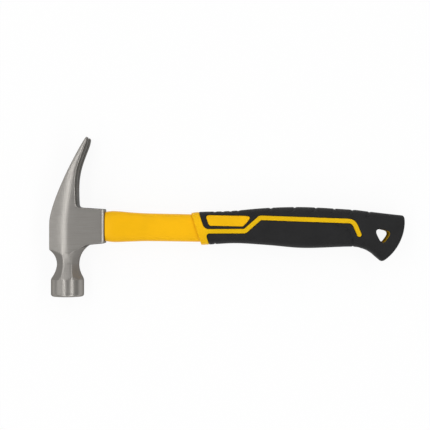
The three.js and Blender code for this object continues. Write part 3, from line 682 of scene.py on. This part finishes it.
def cheek_rings(head):
    back = claw_back(head)
    socket = head.socket_length / MM
    cheek = head.cheek_width / MM / 2
    edge_x = socket - SOCKET_BEVEL
    rings = []
    for i in range(CHEEK_STEPS + 1):
        y = mix(-SOCKET_POLL_SIDE, SOCKET_CLAW_SIDE, i / CHEEK_STEPS)
        inset = mix(-SOCKET_POLL_SIDE + SOCKET_EDGE, SOCKET_CLAW_SIDE - SOCKET_EDGE, i / CHEEK_STEPS)
        crown_x = back(share_at_y(back, y))[0]
        rings.append(forging_ring(
            (crown_x, y, head.crown_width / MM / 2),
            (ridge_x(y) - RIDGE_BAND / 2, y, cheek - RIDGE_FALL),
            (ridge_x(y) + RIDGE_BAND / 2, y, cheek),
            (edge_x, inset, cheek_half(head, edge_x)),
            (socket, y, cheek_half(head, edge_x) - SOCKET_BEVEL_DROP),
            PLANE_BULGE))
    return rings


def claw_ring(head, back, inner, share, edge):
    reach = math.dist(back, inner)
    ridge = mix(head.cheek_width, head.claw_width, share) / MM / 2
    edge = min(edge, reach * CLAW_EDGE_SHARE)

    def before_ridge(share):
        x, y = between(back, inner, share)
        return x < ridge_x(y)

    middle = min(last_share(before_ridge) * reach, (reach - edge) * RIDGE_LIMIT)
    before = min(RIDGE_BAND / 2, middle * RIDGE_LIMIT)
    after = min(RIDGE_BAND / 2, (reach - edge - middle) * RIDGE_LIMIT)
    shoulder = ridge - RIDGE_FALL * (before + after) / RIDGE_BAND
    crown = shoulder - cheek_slope(head) * (middle - before)
    rim = ridge - CLAW_FALL * (reach - edge - middle - after)

    def at(distance, half):
        return (*between(back, inner, distance / reach), half)

    return forging_ring(
        at(0, crown), at(middle - before, shoulder), at(middle + after, ridge),
        at(reach - edge, rim), at(reach, rim - edge * CLAW_EDGE_FALL), PLANE_BULGE)


def claw_rings(head):
    back = claw_back(head)
    crotch_y = SOCKET_CLAW_SIDE + SOCKET_FLARE + CROTCH_RADIUS
    root_share = share_at_y(back, crotch_y)
    foot_share = share_at_y(back, SOCKET_CLAW_SIDE + FIT)
    rings = []
    for i in range(ARC_STEPS):
        angle = math.pi / 2 * (1 - i / ARC_STEPS)
        inner = (
            CLAW_ROOT_X + CROTCH_RADIUS * (1 - math.cos(angle)),
            crotch_y - CROTCH_RADIUS * math.sin(angle))
        share = i / ARC_STEPS
        edge = mix(SOCKET_EDGE, CLAW_EDGE, share)
        rings.append(claw_ring(head, back(mix(foot_share, root_share, share)), inner, 0, edge))
    for i in range(CLAW_STEPS + 1):
        share = i / CLAW_STEPS
        edge = mix(CLAW_EDGE, CLAW_TIP_EDGE, share**2)
        outer = back(mix(root_share, 1, share))
        end = max(0, (share - CLAW_ROUND_START) / (1 - CLAW_ROUND_START))
        inner = between(claw_inner(share), outer, CLAW_ROUND * end**2)
        rings.append(claw_ring(head, outer, inner, share, edge))
    return rings


def turned_envelope(head):
    """The lathe's envelope: a domed face, a rounded rim and the poll, open above the neck's waist."""
    radius = head.poll_diameter / MM / 2
    flat = radius - FACE_BEVEL
    profile = []
    for k in range(1, DOME_STEPS):
        profile.append((flat * k / DOME_STEPS, -FACE_REACH - FACE_DOME * (1 - (k / DOME_STEPS) ** 2)))
    for i in range(ARC_STEPS + 1):
        angle = math.pi / 2 * i / ARC_STEPS
        rise = FACE_BEVEL * (1 - math.cos(angle))
        profile.append((flat + FACE_BEVEL * math.sin(angle), -FACE_REACH + rise))
    profile += [(radius, -NECK_WAIST_REACH), (BEYOND, -NECK_WAIST_REACH), (BEYOND, BEYOND)]
    rings = []
    for r, y in profile:
        turns = [2 * math.pi * j / POLL_SIDES for j in range(POLL_SIDES)]
        rings.append([(r * math.sin(turn), y, r * math.cos(turn)) for turn in turns])
    return skin("poll_envelope", rings)


def claw_cut(head):
    """The V slot between the tines and the rounded ends of the tines."""
    reach = CLAW_TIP[1]
    corner = head.claw_width / MM / 2
    mouth = head.slot_mouth / MM / 2
    root = SLOT_ROOT_WIDTH / 2
    peak = (corner + mouth) / 2
    root_y = reach - head.slot_length / MM + root
    side = [(2 * corner, BEYOND), (2 * corner, reach - 2 * TINE_CORNER_DROP)]
    shoulder, shelf = reach - TINE_CORNER_DROP, reach - TINE_SLOT_DROP
    for k in range(ARC_STEPS + 1):
        side.append(quadratic((corner, shoulder), (corner, reach), (peak, reach), k / ARC_STEPS))
    for k in range(1, ARC_STEPS + 1):
        side.append(quadratic((peak, reach), (mouth, reach), (mouth, shelf), k / ARC_STEPS))
    for k in range(ARC_STEPS):
        angle = math.pi / 2 * k / ARC_STEPS
        side.append((root * math.cos(angle), root_y - root * math.sin(angle)))
    outline = side + [(0, root_y - root)] + [(-z, y) for z, y in reversed(side)]
    return skin("claw_slot", [[(x, y, z) for z, y in outline] for x in (-BEYOND, BEYOND)])


def eye_ring(head, x, gap):
    crown, socket = head.crown_height / MM, head.socket_length / MM
    height, width = between(EYE_CROWN, EYE_MOUTH, (x + crown) / (socket + crown))
    half = height / 2 - gap
    return oval(Vector((x, half)), Vector((x, -half)), width / 2 - gap, EYE_POWER)


def scale_and_shade_faces(face):
    """The sides that the belt doesn't reach: the claw's inner curve and both edges of the socket. Their
    dark scale also stands for painted shade on these faces, which turn away from the light.
    """
    place, way = face.calc_center_median(), face.normal
    low, high = spot(0, -SOCKET_POLL_SIDE - SOCKET_MARGIN).y, spot(0, SOCKET_CLAW_SIDE + SOCKET_MARGIN).y
    socket = place.x > spot(CLAW_ROOT_X, 0).x and low < place.y < high
    if socket and abs(way.y) > SOCKET_EDGE_FACING:
        return abs(way.z) < SOCKET_EDGE_STEEP
    on_claw = place.y > spot(0, SOCKET_CLAW_SIDE - CLAW_MARGIN).y and way.y < CLAW_TIP_FACING
    return on_claw and way.x > CLAW_CURVE_FACING and abs(way.z) < CLAW_CURVE_STEEP


def shaded_slot_wall(face, head):
    """The walls of the slot between the tines, which take the dark scale as painted shade."""
    place, way = face.calc_center_median(), face.normal
    root = spot(0, CLAW_TIP[1]).y - head.slot_length
    near = abs(place.z - spot(0, 0).z) < head.slot_mouth / 2 + SLOT_MARGIN * MM
    return place.y > root and near and abs(way.z) > SLOT_WALL_FACING


def shaded_neck_side(face, shoulder):
    """The neck's side facets, which take a darker matt steel as painted shade."""
    place, way = face.calc_center_median(), face.normal
    top = NECK_CROWN_REACH if way.x < 0 else SOCKET_POLL_SIDE
    steep = POLL_SIDE_FACING if place.y < spot(0, -NECK_WAIST_REACH).y else NECK_SIDE_FACING
    return spot(0, -shoulder).y < place.y < spot(0, -top).y and abs(way.x) > steep


class HAMMER_OT_head(Operator):
    """Models the forged head: turned poll, octagonal neck, ridged cheeks and split claw"""

    bl_idname = "hammer.head"
    bl_label = "Forged head"

    def execute(self, context):
        head = context.scene.hammer_head
        rings = poll_rings(head) + neck_rings(head) + cheek_rings(head) + claw_rings(head)
        piece = skin("forged_head", rings)
        combine(piece, turned_envelope(head), "INTERSECT")
        combine(piece, claw_cut(head), "DIFFERENCE")
        span = 2 * head.socket_length / MM
        eye = skin("eye", [eye_ring(head, -span, 0), eye_ring(head, span, 0)])
        combine(piece, eye, "DIFFERENCE")
        soften(piece, head.grain, HEAD_ROUNDS)
        finish_piece(
            piece, "hammer_head", "forged_steel",
            ground_steel(head), scale_and_painted_shade(head), shaded_matt_steel(head))
        shoulder = FACE_REACH - head.poll_length / MM
        # The neck's side facets take the darker matt steel as painted shade
        other_finish(piece, lambda face: shaded_neck_side(face, shoulder), 2)
        # These faces take the dark scale, which is partly painted shade
        other_finish(piece, scale_and_shade_faces)
        other_finish(piece, lambda face: shaded_slot_wall(face, head))
        return {"FINISHED"}


# Shaft


class HAMMER_OT_resin(Operator):
    """Models the resin cast in the eye, with its domed top, and finishes the hidden core"""

    bl_idname = "hammer.resin"
    bl_label = "Resin bond"

    def execute(self, context):
        head = context.scene.hammer_head
        shaft = context.scene.hammer_shaft
        top = -head.crown_height / MM + RESIN_RECESS
        rings = []
        for k in range(1, ARC_STEPS + 1):
            share = k / ARC_STEPS
            flat = eye_ring(head, top, FIT)
            rings.append([(x - RESIN_DOME * (1 - share**2), y * share, z * share) for x, y, z in flat])
        rings.append(eye_ring(head, head.socket_length / MM - TENON_LENGTH - FIT, FIT))
        piece = skin("cast_resin", rings)
        pick(piece)
        bpy.ops.object.shade_smooth_by_angle(angle=SMOOTH_ANGLE)
        finish_piece(piece, "epoxy_bond", "epoxy", cast_resin(shaft))
        core = frame["nodes"]["fibreglass_core"]
        core.data.materials.clear()
        core.data.materials.append(pultruded_fibreglass(shaft))
        return {"FINISHED"}


def jacket_rings(head, gap):
    start = head.socket_length / MM + FIT
    finish = COLLAR_REACH + JACKET_ENGAGEMENT
    rows = [(start + at, back, belly, half) for at, back, belly, half in JACKET_STATIONS]
    rows.append((finish, *JACKET_END))
    run = smooth_run(rows)
    steps = STATION_STEPS * (len(rows) - 1)
    rings = []
    for i in range(steps + 1):
        x, back, belly, half = run(i / steps)
        lean = COLLAR_LEAN * max(0, (i / steps - JACKET_LEAN_START) / (1 - JACKET_LEAN_START))
        rings.append(oval(
            Vector((x - lean * back, back + gap)), Vector((x + lean * belly, -belly - gap)), half + gap,
            JACKET_POWER))
    return rings


class HAMMER_OT_jacket(Operator):
    """Models the yellow jacket over the core, with its tenon in the socket"""

    bl_idname = "hammer.jacket"
    bl_label = "Shaft jacket"

    def execute(self, context):
        head = context.scene.hammer_head
        socket = head.socket_length / MM
        tenon = [eye_ring(head, socket - TENON_LENGTH, FIT), eye_ring(head, socket + FIT, FIT)]
        piece = skin("shaft_jacket_moulding", tenon + jacket_rings(head, 0))
        bevel = piece.modifiers.new("edge", "BEVEL")
        bevel.width = JACKET_EDGE * MM
        bevel.segments = JACKET_EDGE_STEPS
        bevel.limit_method = "ANGLE"
        bevel.angle_limit = JACKET_EDGE_ANGLE
        apply(piece, bevel)
        pick(piece)
        bpy.ops.object.shade_smooth_by_angle(angle=SMOOTH_ANGLE)
        yellow = moulded_yellow("jacket_yellow", context.scene.hammer_shaft.yellow)
        finish_piece(piece, "shaft_jacket", "jacket_plastic", yellow)
        return {"FINISHED"}


# Grip


def grip_body(inset):
    """The grip's outer form, set in all round, with its butt edge rounded."""
    rows = []
    for at, back, belly, half, lean, bow, power in GRIP_STATIONS:
        x = COLLAR_REACH + at
        rows.append((x - lean * back, back, x + lean * belly, -belly, half, bow, power))
    run = smooth_run(rows)

    def ring(share, shrink, push):
        top_x, top_y, low_x, low_y, half, bow, power = run(share)
        way = Vector((top_x - low_x, top_y - low_y)).normalized()
        out = Vector((way.y, -way.x)) * push
        return oval(
            Vector((top_x, top_y)) - way * shrink + out, Vector((low_x, low_y)) + way * shrink + out,
            half - shrink, power, max(bow, 0))

    last_run = math.dist(rows[-1][:2], rows[-2][:2])
    butt = 1 - inset / last_run / (len(rows) - 1)
    steps = STATION_STEPS * (len(rows) - 1)
    rings = [ring(butt * i / steps, inset, 0) for i in range(steps)]
    for i in range(ARC_STEPS + 1):
        angle = math.pi / 2 * i / ARC_STEPS
        rings.append(ring(butt, inset + BUTT_ROUND * (1 - math.cos(angle)), BUTT_ROUND * math.sin(angle)))
    return skin("grip_body", rings)


def collar_slice(start, finish):
    def edge(x, y):
        return (COLLAR_REACH + x - COLLAR_LEAN * y, y)

    low, high = -COLLAR_SPAN, COLLAR_SPAN
    corners = [(start, low), (finish, low), (finish, high), (start, high)]
    return prism("collar_slice", [edge(*corner) for corner in corners])


def pad_through(grow):
    return prism("pad", rounded(grown(along(PAD_CORNERS), grow), PAD_ROUND + grow))


def stripe_through(grip, grow):
    width = grip.stripe_width / MM + 2 * grow
    stripe = prism("stripe", band(along(STRIPE_ROUTE), width, STRIPE_BENDS))
    return combine(stripe, stripe_foot(grip, grow), "UNION")


def stripe_foot(grip, grow):
    """The stripe's root, flared where it leaves the collar. Its ends lie just inside the stripe."""
    y = STRIPE_ROUTE[0][1]
    half = grip.stripe_width / MM / 2 + grow
    collar = COLLAR_REACH + grip.collar_width / MM + grow
    outline = []
    for sign, flare in zip((1, -1), STRIPE_FLARES):
        low, high = y + sign * half, y + sign * (half + flare)
        start = (collar - COLLAR_LEAN * high, high)
        corner = (collar - COLLAR_LEAN * low, low)
        end = (corner[0] + flare, low - sign * SEAM)
        curve = [quadratic(start, corner, end, k / ARC_STEPS) for k in range(ARC_STEPS + 1)]
        outline += curve if sign > 0 else reversed(curve)
    outline.append((collar - COLLAR_LEAN * y - grip.collar_width / MM / 2, y))
    return prism("stripe_foot", outline, -BEYOND - FACE_REACH, BEYOND + FACE_REACH)


def hang_hole(grow, half=BEYOND):
    corners = grown(along(HANG_HOLE_CORNERS), grow)
    return prism("hang_hole", rounded(corners, HANG_HOLE_ROUND + grow), -half, half)


def back_grooves(grip, places, drop, depth):
    """Slanted slots over the grip's back."""
    top = smooth_run([(back, at - lean * back) for at, back, _, _, lean, _, _ in GRIP_STATIONS])
    half = grip.groove_width / MM / 2
    slots = []
    for at in places:
        y = top(share_at_y(top, at))[0]
        x = COLLAR_REACH + at
        corners = [(-half, -drop), (half, -drop), (half, drop), (-half, drop)]
        slots.append(prism("groove", [(x + dx + GROOVE_LEAN * dy, y + dy) for dx, dy in corners]))
    return combine(join(slots), grip_body(depth), "DIFFERENCE")


def panel_line(route, bends):
    """A fine line pressed into the soft shot, round its belly panel or across its belly."""
    line = prism("panel_line", band(along(route), PANEL_LINE_WIDTH, bends))
    return combine(line, grip_body(PANEL_LINE_DEPTH), "DIFFERENCE")


def on_pad(face):
    """The window pads, which lie between the collar, the stripe's level run and its rise."""
    x, y = ((face.calc_center_median() - spot(COLLAR_REACH, 0)) / MM)[:2]
    low, high = PAD_CORNERS[2:]
    lean = (high[0] - low[0]) / (high[1] - low[1])
    behind_collar = x + COLLAR_LEAN * y > PAD_CORNERS[1][0] - PAD_FRONT_MARGIN
    before_rise = x - lean * y < low[0] + PAD_END_MARGIN
    return behind_collar and before_rise and y > low[1] - PAD_LOW_MARGIN


# The hang hole's wall, which takes the lining colour as painted shade.
def shaded_hole_wall(face):
    return face.calc_center_median().x > spot(COLLAR_REACH + HOLE_SHADE_START, 0).x


class HAMMER_OT_sleeve(Operator):
    """Models the hard yellow shot: collar, stripes, window pads and the hang hole's lining"""

    bl_idname = "hammer.sleeve"
    bl_label = "Grip sleeve"

    def execute(self, context):
        grip = context.scene.hammer_grip
        head = context.scene.hammer_head
        collar = combine(grip_body(0), collar_slice(-COLLAR_REACH, grip.collar_width / MM), "INTERSECT")
        bore = skin("bore", jacket_rings(head, FIT))
        combine(collar, bore, "DIFFERENCE")
        floor = grip_body(SHOT_DEPTH - SEAM)
        stripe = combine(grip_body(0), stripe_through(grip, 0), "INTERSECT")
        combine(stripe, floor, "DIFFERENCE", keep=True)
        combine(collar, stripe, "UNION")
        pads = combine(grip_body(PAD_RECESS), pad_through(0), "INTERSECT")
        combine(pads, floor, "DIFFERENCE")
        half = GRIP_STATIONS[-1][3] - HANG_HOLE_LIP
        lining = hang_hole(HANG_HOLE_LINING, half)
        combine(lining, hang_hole(0), "DIFFERENCE")
        piece = join([collar, pads, lining])
        piece.name = "sleeve_moulding"
        piece.data.name = piece.name
        soften(piece, grip.hard_grain, HARD_ROUNDS)
        finish_piece(
            piece, "grip_sleeve", "sleeve_plastic",
            moulded_yellow("sleeve_yellow", grip.yellow, far=grip.stripe_yellow),
            moulded_yellow("lining_painted_shade", grip.lining, 0), moulded_yellow("pad_yellow", grip.yellow))
        other_finish(piece, on_pad, 2)
        # The hole's wall takes the darker lining finish as painted shade
        other_finish(piece, shaded_hole_wall)
        return {"FINISHED"}


class HAMMER_OT_overmould(Operator):
    """Models the soft black shot round the hard one, with its grooves and the hang hole"""

    bl_idname = "hammer.overmould"
    bl_label = "Grip overmould"

    def execute(self, context):
        grip = context.scene.hammer_grip
        piece = grip_body(0)
        piece.name = "soft_overmould"
        piece.data.name = piece.name
        combine(piece, collar_slice(-COLLAR_REACH, grip.collar_width / MM + SEAM), "DIFFERENCE")
        for recess in (stripe_through(grip, SEAM), pad_through(SEAM)):
            combine(recess, grip_body(SHOT_DEPTH), "DIFFERENCE")
            combine(piece, recess, "DIFFERENCE")
        deep = grip.groove_depth / MM
        combine(piece, back_grooves(grip, GROOVES_AT, GROOVE_DROP, deep), "DIFFERENCE")
        front = back_grooves(grip, FRONT_GROOVES_AT, FRONT_GROOVE_DROP, FRONT_GROOVE_DEPTH)
        combine(piece, front, "DIFFERENCE")
        combine(piece, panel_line(PANEL_LINE, PANEL_BENDS), "DIFFERENCE")
        combine(piece, panel_line(BELLY_LINE, (1,)), "DIFFERENCE")
        combine(piece, hang_hole(0), "DIFFERENCE")
        half = GRIP_STATIONS[-1][3] - HANG_HOLE_LIP + SEAM
        combine(piece, hang_hole(HANG_HOLE_LINING + SEAM, half), "DIFFERENCE")
        soften(piece, grip.soft_grain, SOFT_ROUNDS, SOFT_KEEP)
        finish_piece(piece, "grip_overmould", "soft_grip", soft_black(grip))
        return {"FINISHED"}


# Finishes


class Finish:
    """A node material under construction, on Object coordinates."""

    def __init__(self, name):
        self.material = bpy.data.materials.new(name)
        self.material.use_nodes = True
        self.nodes = self.material.node_tree.nodes
        self.links = self.material.node_tree.links
        self.shader = self.nodes["Principled BSDF"]
        self.place = self.nodes.new("ShaderNodeTexCoord").outputs["Object"]

    def make(self, kind, output, inputs, **settings):
        """One output of a new node, whose inputs are plain values or other nodes' outputs."""
        node = self.nodes.new(kind)
        for name, value in settings.items():
            setattr(node, name, value)
        for name, value in inputs.items():
            if isinstance(value, bpy.types.NodeSocket):
                self.links.new(value, node.inputs[name])
            else:
                node.inputs[name].default_value = value
        return node.outputs[output]

    def pattern(self, kind, output, scale, **inputs):
        """A pattern of one kind, at a scale for each axis."""
        place = self.make("ShaderNodeMapping", "Vector", {"Vector": self.place, "Scale": scale})
        return self.make(kind, output, {"Vector": place, "Scale": 1, **inputs})

    def noise(self, scale, detail=2.0, stretch=(1, 1, 1), roughness=0.5):
        scales = [scale * s for s in stretch]
        return self.pattern("ShaderNodeTexNoise", "Fac", scales, Detail=detail, Roughness=roughness)

    def cells(self, scale):
        return self.pattern("ShaderNodeTexVoronoi", "Distance", (scale, scale, scale))

    def spread(self, value, low, high, start=0.3, finish=0.7):
        limits = {"From Min": start, "From Max": finish, "To Min": low, "To Max": high}
        return self.make("ShaderNodeMapRange", "Result", {"Value": value, **limits})

    def tint(self, share, near, far):
        """Two colours mixed by a share."""
        colours = {"Factor": share, "A": near, "B": far}
        return self.make("ShaderNodeMix", "Result", colours, data_type="RGBA")

    def way_along(self, start, finish):
        """How far a place lies between two places along X."""
        x = self.make("ShaderNodeSeparateXYZ", "X", {"Vector": self.place})
        return self.spread(x, 0, 1, spot(start, 0).x, spot(finish, 0).x)

    def sum(self, a, b):
        return self.make("ShaderNodeMath", "Value", {0: a, 1: b}, operation="ADD")

    def bump(self, height, strength, distance):
        inputs = {"Height": height, "Strength": strength, "Distance": distance}
        return self.make("ShaderNodeBump", "Normal", inputs)

    def drive(self, socket, value):
        self.links.new(value, self.shader.inputs[socket])


def shade(colour, factor):
    return (*[c * factor for c in colour[:3]], 1)


def ground_steel(head):
    """Forged steel ground on a belt: fine lines along the handle's way, with soft cloudy patches."""
    steel = Finish("ground_steel")
    lines = steel.noise(1, 3, (110, 2600, 2600), roughness=0.7)
    streaks = steel.noise(1, 2, (40, 700, 700))
    clouds = steel.noise(90, 3)
    grain = steel.sum(steel.spread(lines, 0, 0.35), steel.spread(streaks, 0, 0.45))
    wear = steel.sum(grain, steel.spread(clouds, 0, 0.2))
    steel.drive("Base Color", steel.tint(wear, shade(head.steel, 0.91), shade(head.steel, 1.09)))
    steel.drive("Roughness", steel.spread(wear, 0.315, 0.345, 0, 1))
    steel.drive("Normal", steel.bump(grain, 0.02, 0.00003))
    steel.shader.inputs["Metallic"].default_value = 1
    steel.shader.inputs["Specular Tint"].default_value = STEEL_EDGE_SHADE
    return steel.material


def shaded_matt_steel(head):
    """Matt steel whose darker colour is painted shade on the neck's side facets."""
    steel = Finish("shaded_matt_steel")
    pits = steel.noise(1400, 3, roughness=0.6)
    clouds = steel.noise(120, 3)
    both = steel.sum(steel.spread(pits, 0, 0.5), steel.spread(clouds, 0, 0.5))
    steel.drive("Base Color", steel.tint(both, shade(head.steel, 0.8), shade(head.steel, 0.92)))
    steel.drive("Roughness", steel.spread(both, 0.54, 0.6, 0, 1))
    steel.shader.inputs["Metallic"].default_value = 1
    steel.shader.inputs["Specular Tint"].default_value = STEEL_EDGE_SHADE
    return steel.material


def scale_and_painted_shade(head):
    """Dark scale on the faces that the belt doesn't reach; its darkness is partly painted shade on faces
    turned away from the light.
    """
    scale = Finish("scale_and_painted_shade")
    pits = scale.noise(900, 4, roughness=0.7)
    clouds = scale.noise(140, 3)
    both = scale.sum(scale.spread(pits, 0, 0.5), scale.spread(clouds, 0, 0.5))
    scale.drive("Base Color", scale.tint(both, shade(head.scale, 0.7), shade(head.scale, 1.3)))
    scale.drive("Roughness", scale.spread(both, 0.5, 0.68, 0, 1))
    scale.drive("Normal", scale.bump(pits, 0.2, 0.0001))
    scale.shader.inputs["Specular IOR Level"].default_value = 0.12
    return scale.material


def cast_resin(shaft):
    resin = Finish("cast_resin")
    clouds = resin.noise(260, 4)
    bubbles = resin.cells(900)
    dark, light = shade(shaft.resin, 0.7), shade(shaft.resin, 1.5)
    resin.drive("Base Color", resin.tint(resin.spread(clouds, 0, 1), dark, light))
    resin.drive("Roughness", resin.spread(clouds, 0.22, 0.42))
    resin.drive("Normal", resin.bump(bubbles, 0.15, 0.0002))
    return resin.material


def pultruded_fibreglass(shaft):
    rod = Finish("pultruded_fibreglass")
    strands = rod.noise(1, 3, (60, 2500, 2500))
    dark, light = shade(shaft.fibreglass, 0.8), shade(shaft.fibreglass, 1.1)
    rod.drive("Base Color", rod.tint(rod.spread(strands, 0, 1), dark, light))
    rod.drive("Roughness", rod.spread(strands, 0.45, 0.65))
    rod.drive("Normal", rod.bump(strands, 0.2, 0.0001))
    return rod.material


def moulded_yellow(name, colour, gloss=0.08, far=None):
    """Satin plastic with a faint orange peel, a slow drift of tone and a second tone past the collar."""
    yellow = Finish(name)
    peel = yellow.noise(1500, 2)
    drift = yellow.noise(45, 2)
    scuff = yellow.noise(1, 3, (120, 1400, 1400))
    share = yellow.spread(drift, 0, 1)
    tone = yellow.tint(share, shade(colour, 0.95), shade(colour, 1.04))
    if far:
        behind = yellow.way_along(*(COLLAR_REACH + at for at in STRIPE_FADE))
        tone = yellow.tint(behind, tone, yellow.tint(share, shade(far, 0.95), shade(far, 1.04)))
    yellow.drive("Base Color", tone)
    yellow.drive("Roughness", yellow.sum(yellow.spread(scuff, 0, 0.08), yellow.spread(drift, 0.3, 0.38)))
    yellow.drive("Normal", yellow.bump(peel, 0.12, 0.00006))
    yellow.shader.inputs["Specular IOR Level"].default_value = gloss
    return yellow.material


def soft_black(grip):
    """Matt rubber with the mould's fine spark grain."""
    rubber = Finish("soft_black")
    spark = rubber.noise(2600, 3, roughness=0.7)
    drift = rubber.noise(70, 3)
    dark, light = shade(grip.black, 0.85), shade(grip.black, 1.2)
    rubber.drive("Base Color", rubber.tint(rubber.spread(drift, 0, 1), dark, light))
    rubber.drive("Roughness", rubber.spread(spark, 0.56, 0.72))
    rubber.drive("Normal", rubber.bump(spark, 0.35, 0.00012))
    rubber.shader.inputs["Specular IOR Level"].default_value = 0.22
    return rubber.material


# Stage


def soft_box(name, target, distance, way, size, power):
    """A lit box that faces its target: way is its turn round the target and its tilt from above."""
    turn, tilt = (math.radians(angle) for angle in way)
    out = Vector((math.sin(tilt) * math.cos(turn), math.sin(tilt) * math.sin(turn), math.cos(tilt)))
    bpy.ops.object.light_add(type="AREA", location=target + out * distance, rotation=(0, tilt, turn))
    box = bpy.context.object
    box.name = name
    box.data.shape = "RECTANGLE"
    box.data.size, box.data.size_y = size
    box.data.energy = power


def floor_finish(stage):
    """Pale floor that shows white to the camera and in the steel, and keeps the hammer's shadow."""
    material = bpy.data.materials.new("pale_floor")
    material.use_nodes = True
    nodes, links = material.node_tree.nodes, material.node_tree.links
    nodes.clear()
    paper = nodes.new("ShaderNodeBsdfDiffuse")
    paper.inputs["Color"].default_value = stage.floor
    glow = nodes.new("ShaderNodeEmission")
    rays = nodes.new("ShaderNodeLightPath")
    seen = rays.outputs["Is Camera Ray"]
    for ray in ("Is Glossy Ray", "Is Transmission Ray"):
        either = nodes.new("ShaderNodeMath")
        either.operation = "MAXIMUM"
        links.new(seen, either.inputs[0])
        links.new(rays.outputs[ray], either.inputs[1])
        seen = either.outputs["Value"]
    share = nodes.new("ShaderNodeMath")
    share.operation = "MULTIPLY"
    share.inputs[1].default_value = FLOOR_GLOW
    links.new(seen, share.inputs[0])
    both = nodes.new("ShaderNodeMixShader")
    links.new(share.outputs["Value"], both.inputs["Fac"])
    links.new(paper.outputs["BSDF"], both.inputs[1])
    links.new(glow.outputs["Emission"], both.inputs[2])
    out = nodes.new("ShaderNodeOutputMaterial")
    links.new(both.outputs["Shader"], out.inputs["Surface"])
    return material


class HAMMER_OT_stage(Operator):
    """Sets the camera straight above the hammer, with a pale floor and soft studio light"""

    bl_idname = "hammer.stage"
    bl_label = "Stage"

    def execute(self, context):
        stage = context.scene.hammer_stage
        scene = context.scene
        scene.view_settings.view_transform = "Standard"
        pick(None)
        bpy.ops.mesh.primitive_plane_add(size=FLOOR_SIZE, location=(0, 0, 0))
        floor = bpy.context.object
        floor.name = "floor"
        floor.data.materials.append(floor_finish(stage))
        middle = spot(*PICTURE_MIDDLE)
        bpy.ops.object.camera_add(
            location=middle + Vector((0, 0, stage.camera_height)), rotation=(0, 0, 0))
        camera = bpy.context.object
        camera.data.angle = 2 * math.atan(stage.frame_width / 2 / stage.camera_height)
        camera.data.clip_start = 0.05
        scene.camera = camera
        for name, target, *rest in SOFT_BOXES:
            soft_box(name, spot(*target), *rest)
        world = bpy.data.worlds.new("studio")
        scene.world = world
        world.use_nodes = True
        sky = world.node_tree.nodes["Background"]
        sky.inputs["Color"].default_value = (1, 1, 1, 1)
        sky.inputs["Strength"].default_value = SKY_STRENGTH
        return {"FINISHED"}


class HAMMER_PT_sidebar(Panel):
    """Lists the hammer's pieces and their settings"""

    bl_idname = "HAMMER_PT_sidebar"
    bl_label = "Claw hammer"
    bl_space_type = "VIEW_3D"
    bl_region_type = "UI"
    bl_category = "Hammer"

    def draw(self, context):
        scene = context.scene
        for settings in (scene.hammer_head, scene.hammer_shaft, scene.hammer_grip, scene.hammer_stage):
            box = self.layout.box()
            for name in settings.__annotations__:
                box.prop(settings, name)
        for operator in PIECES:
            self.layout.operator(operator.bl_idname)


PIECES = (
    HAMMER_OT_head, HAMMER_OT_resin, HAMMER_OT_jacket, HAMMER_OT_sleeve, HAMMER_OT_overmould,
    HAMMER_OT_stage)
SETTINGS = (HeadSettings, ShaftSettings, GripSettings, StageSettings)


def register():
    for each in (*SETTINGS, *PIECES, HAMMER_PT_sidebar):
        bpy.utils.register_class(each)
    bpy.types.Scene.hammer_head = PointerProperty(type=HeadSettings)
    bpy.types.Scene.hammer_shaft = PointerProperty(type=ShaftSettings)
    bpy.types.Scene.hammer_grip = PointerProperty(type=GripSettings)
    bpy.types.Scene.hammer_stage = PointerProperty(type=StageSettings)


def unregister():
    del bpy.types.Scene.hammer_stage
    del bpy.types.Scene.hammer_grip
    del bpy.types.Scene.hammer_shaft
    del bpy.types.Scene.hammer_head
    for each in (HAMMER_PT_sidebar, *PIECES, *SETTINGS):
        bpy.utils.unregister_class(each)


def main():
    register()
    bpy.ops.hammer.stage()
    bpy.ops.hammer.head()
    bpy.ops.hammer.resin()
    bpy.ops.hammer.jacket()
    bpy.ops.hammer.sleeve()
    bpy.ops.hammer.overmould()
    bpy.context.view_layer.update()


if __name__ == "__main__":
    main()
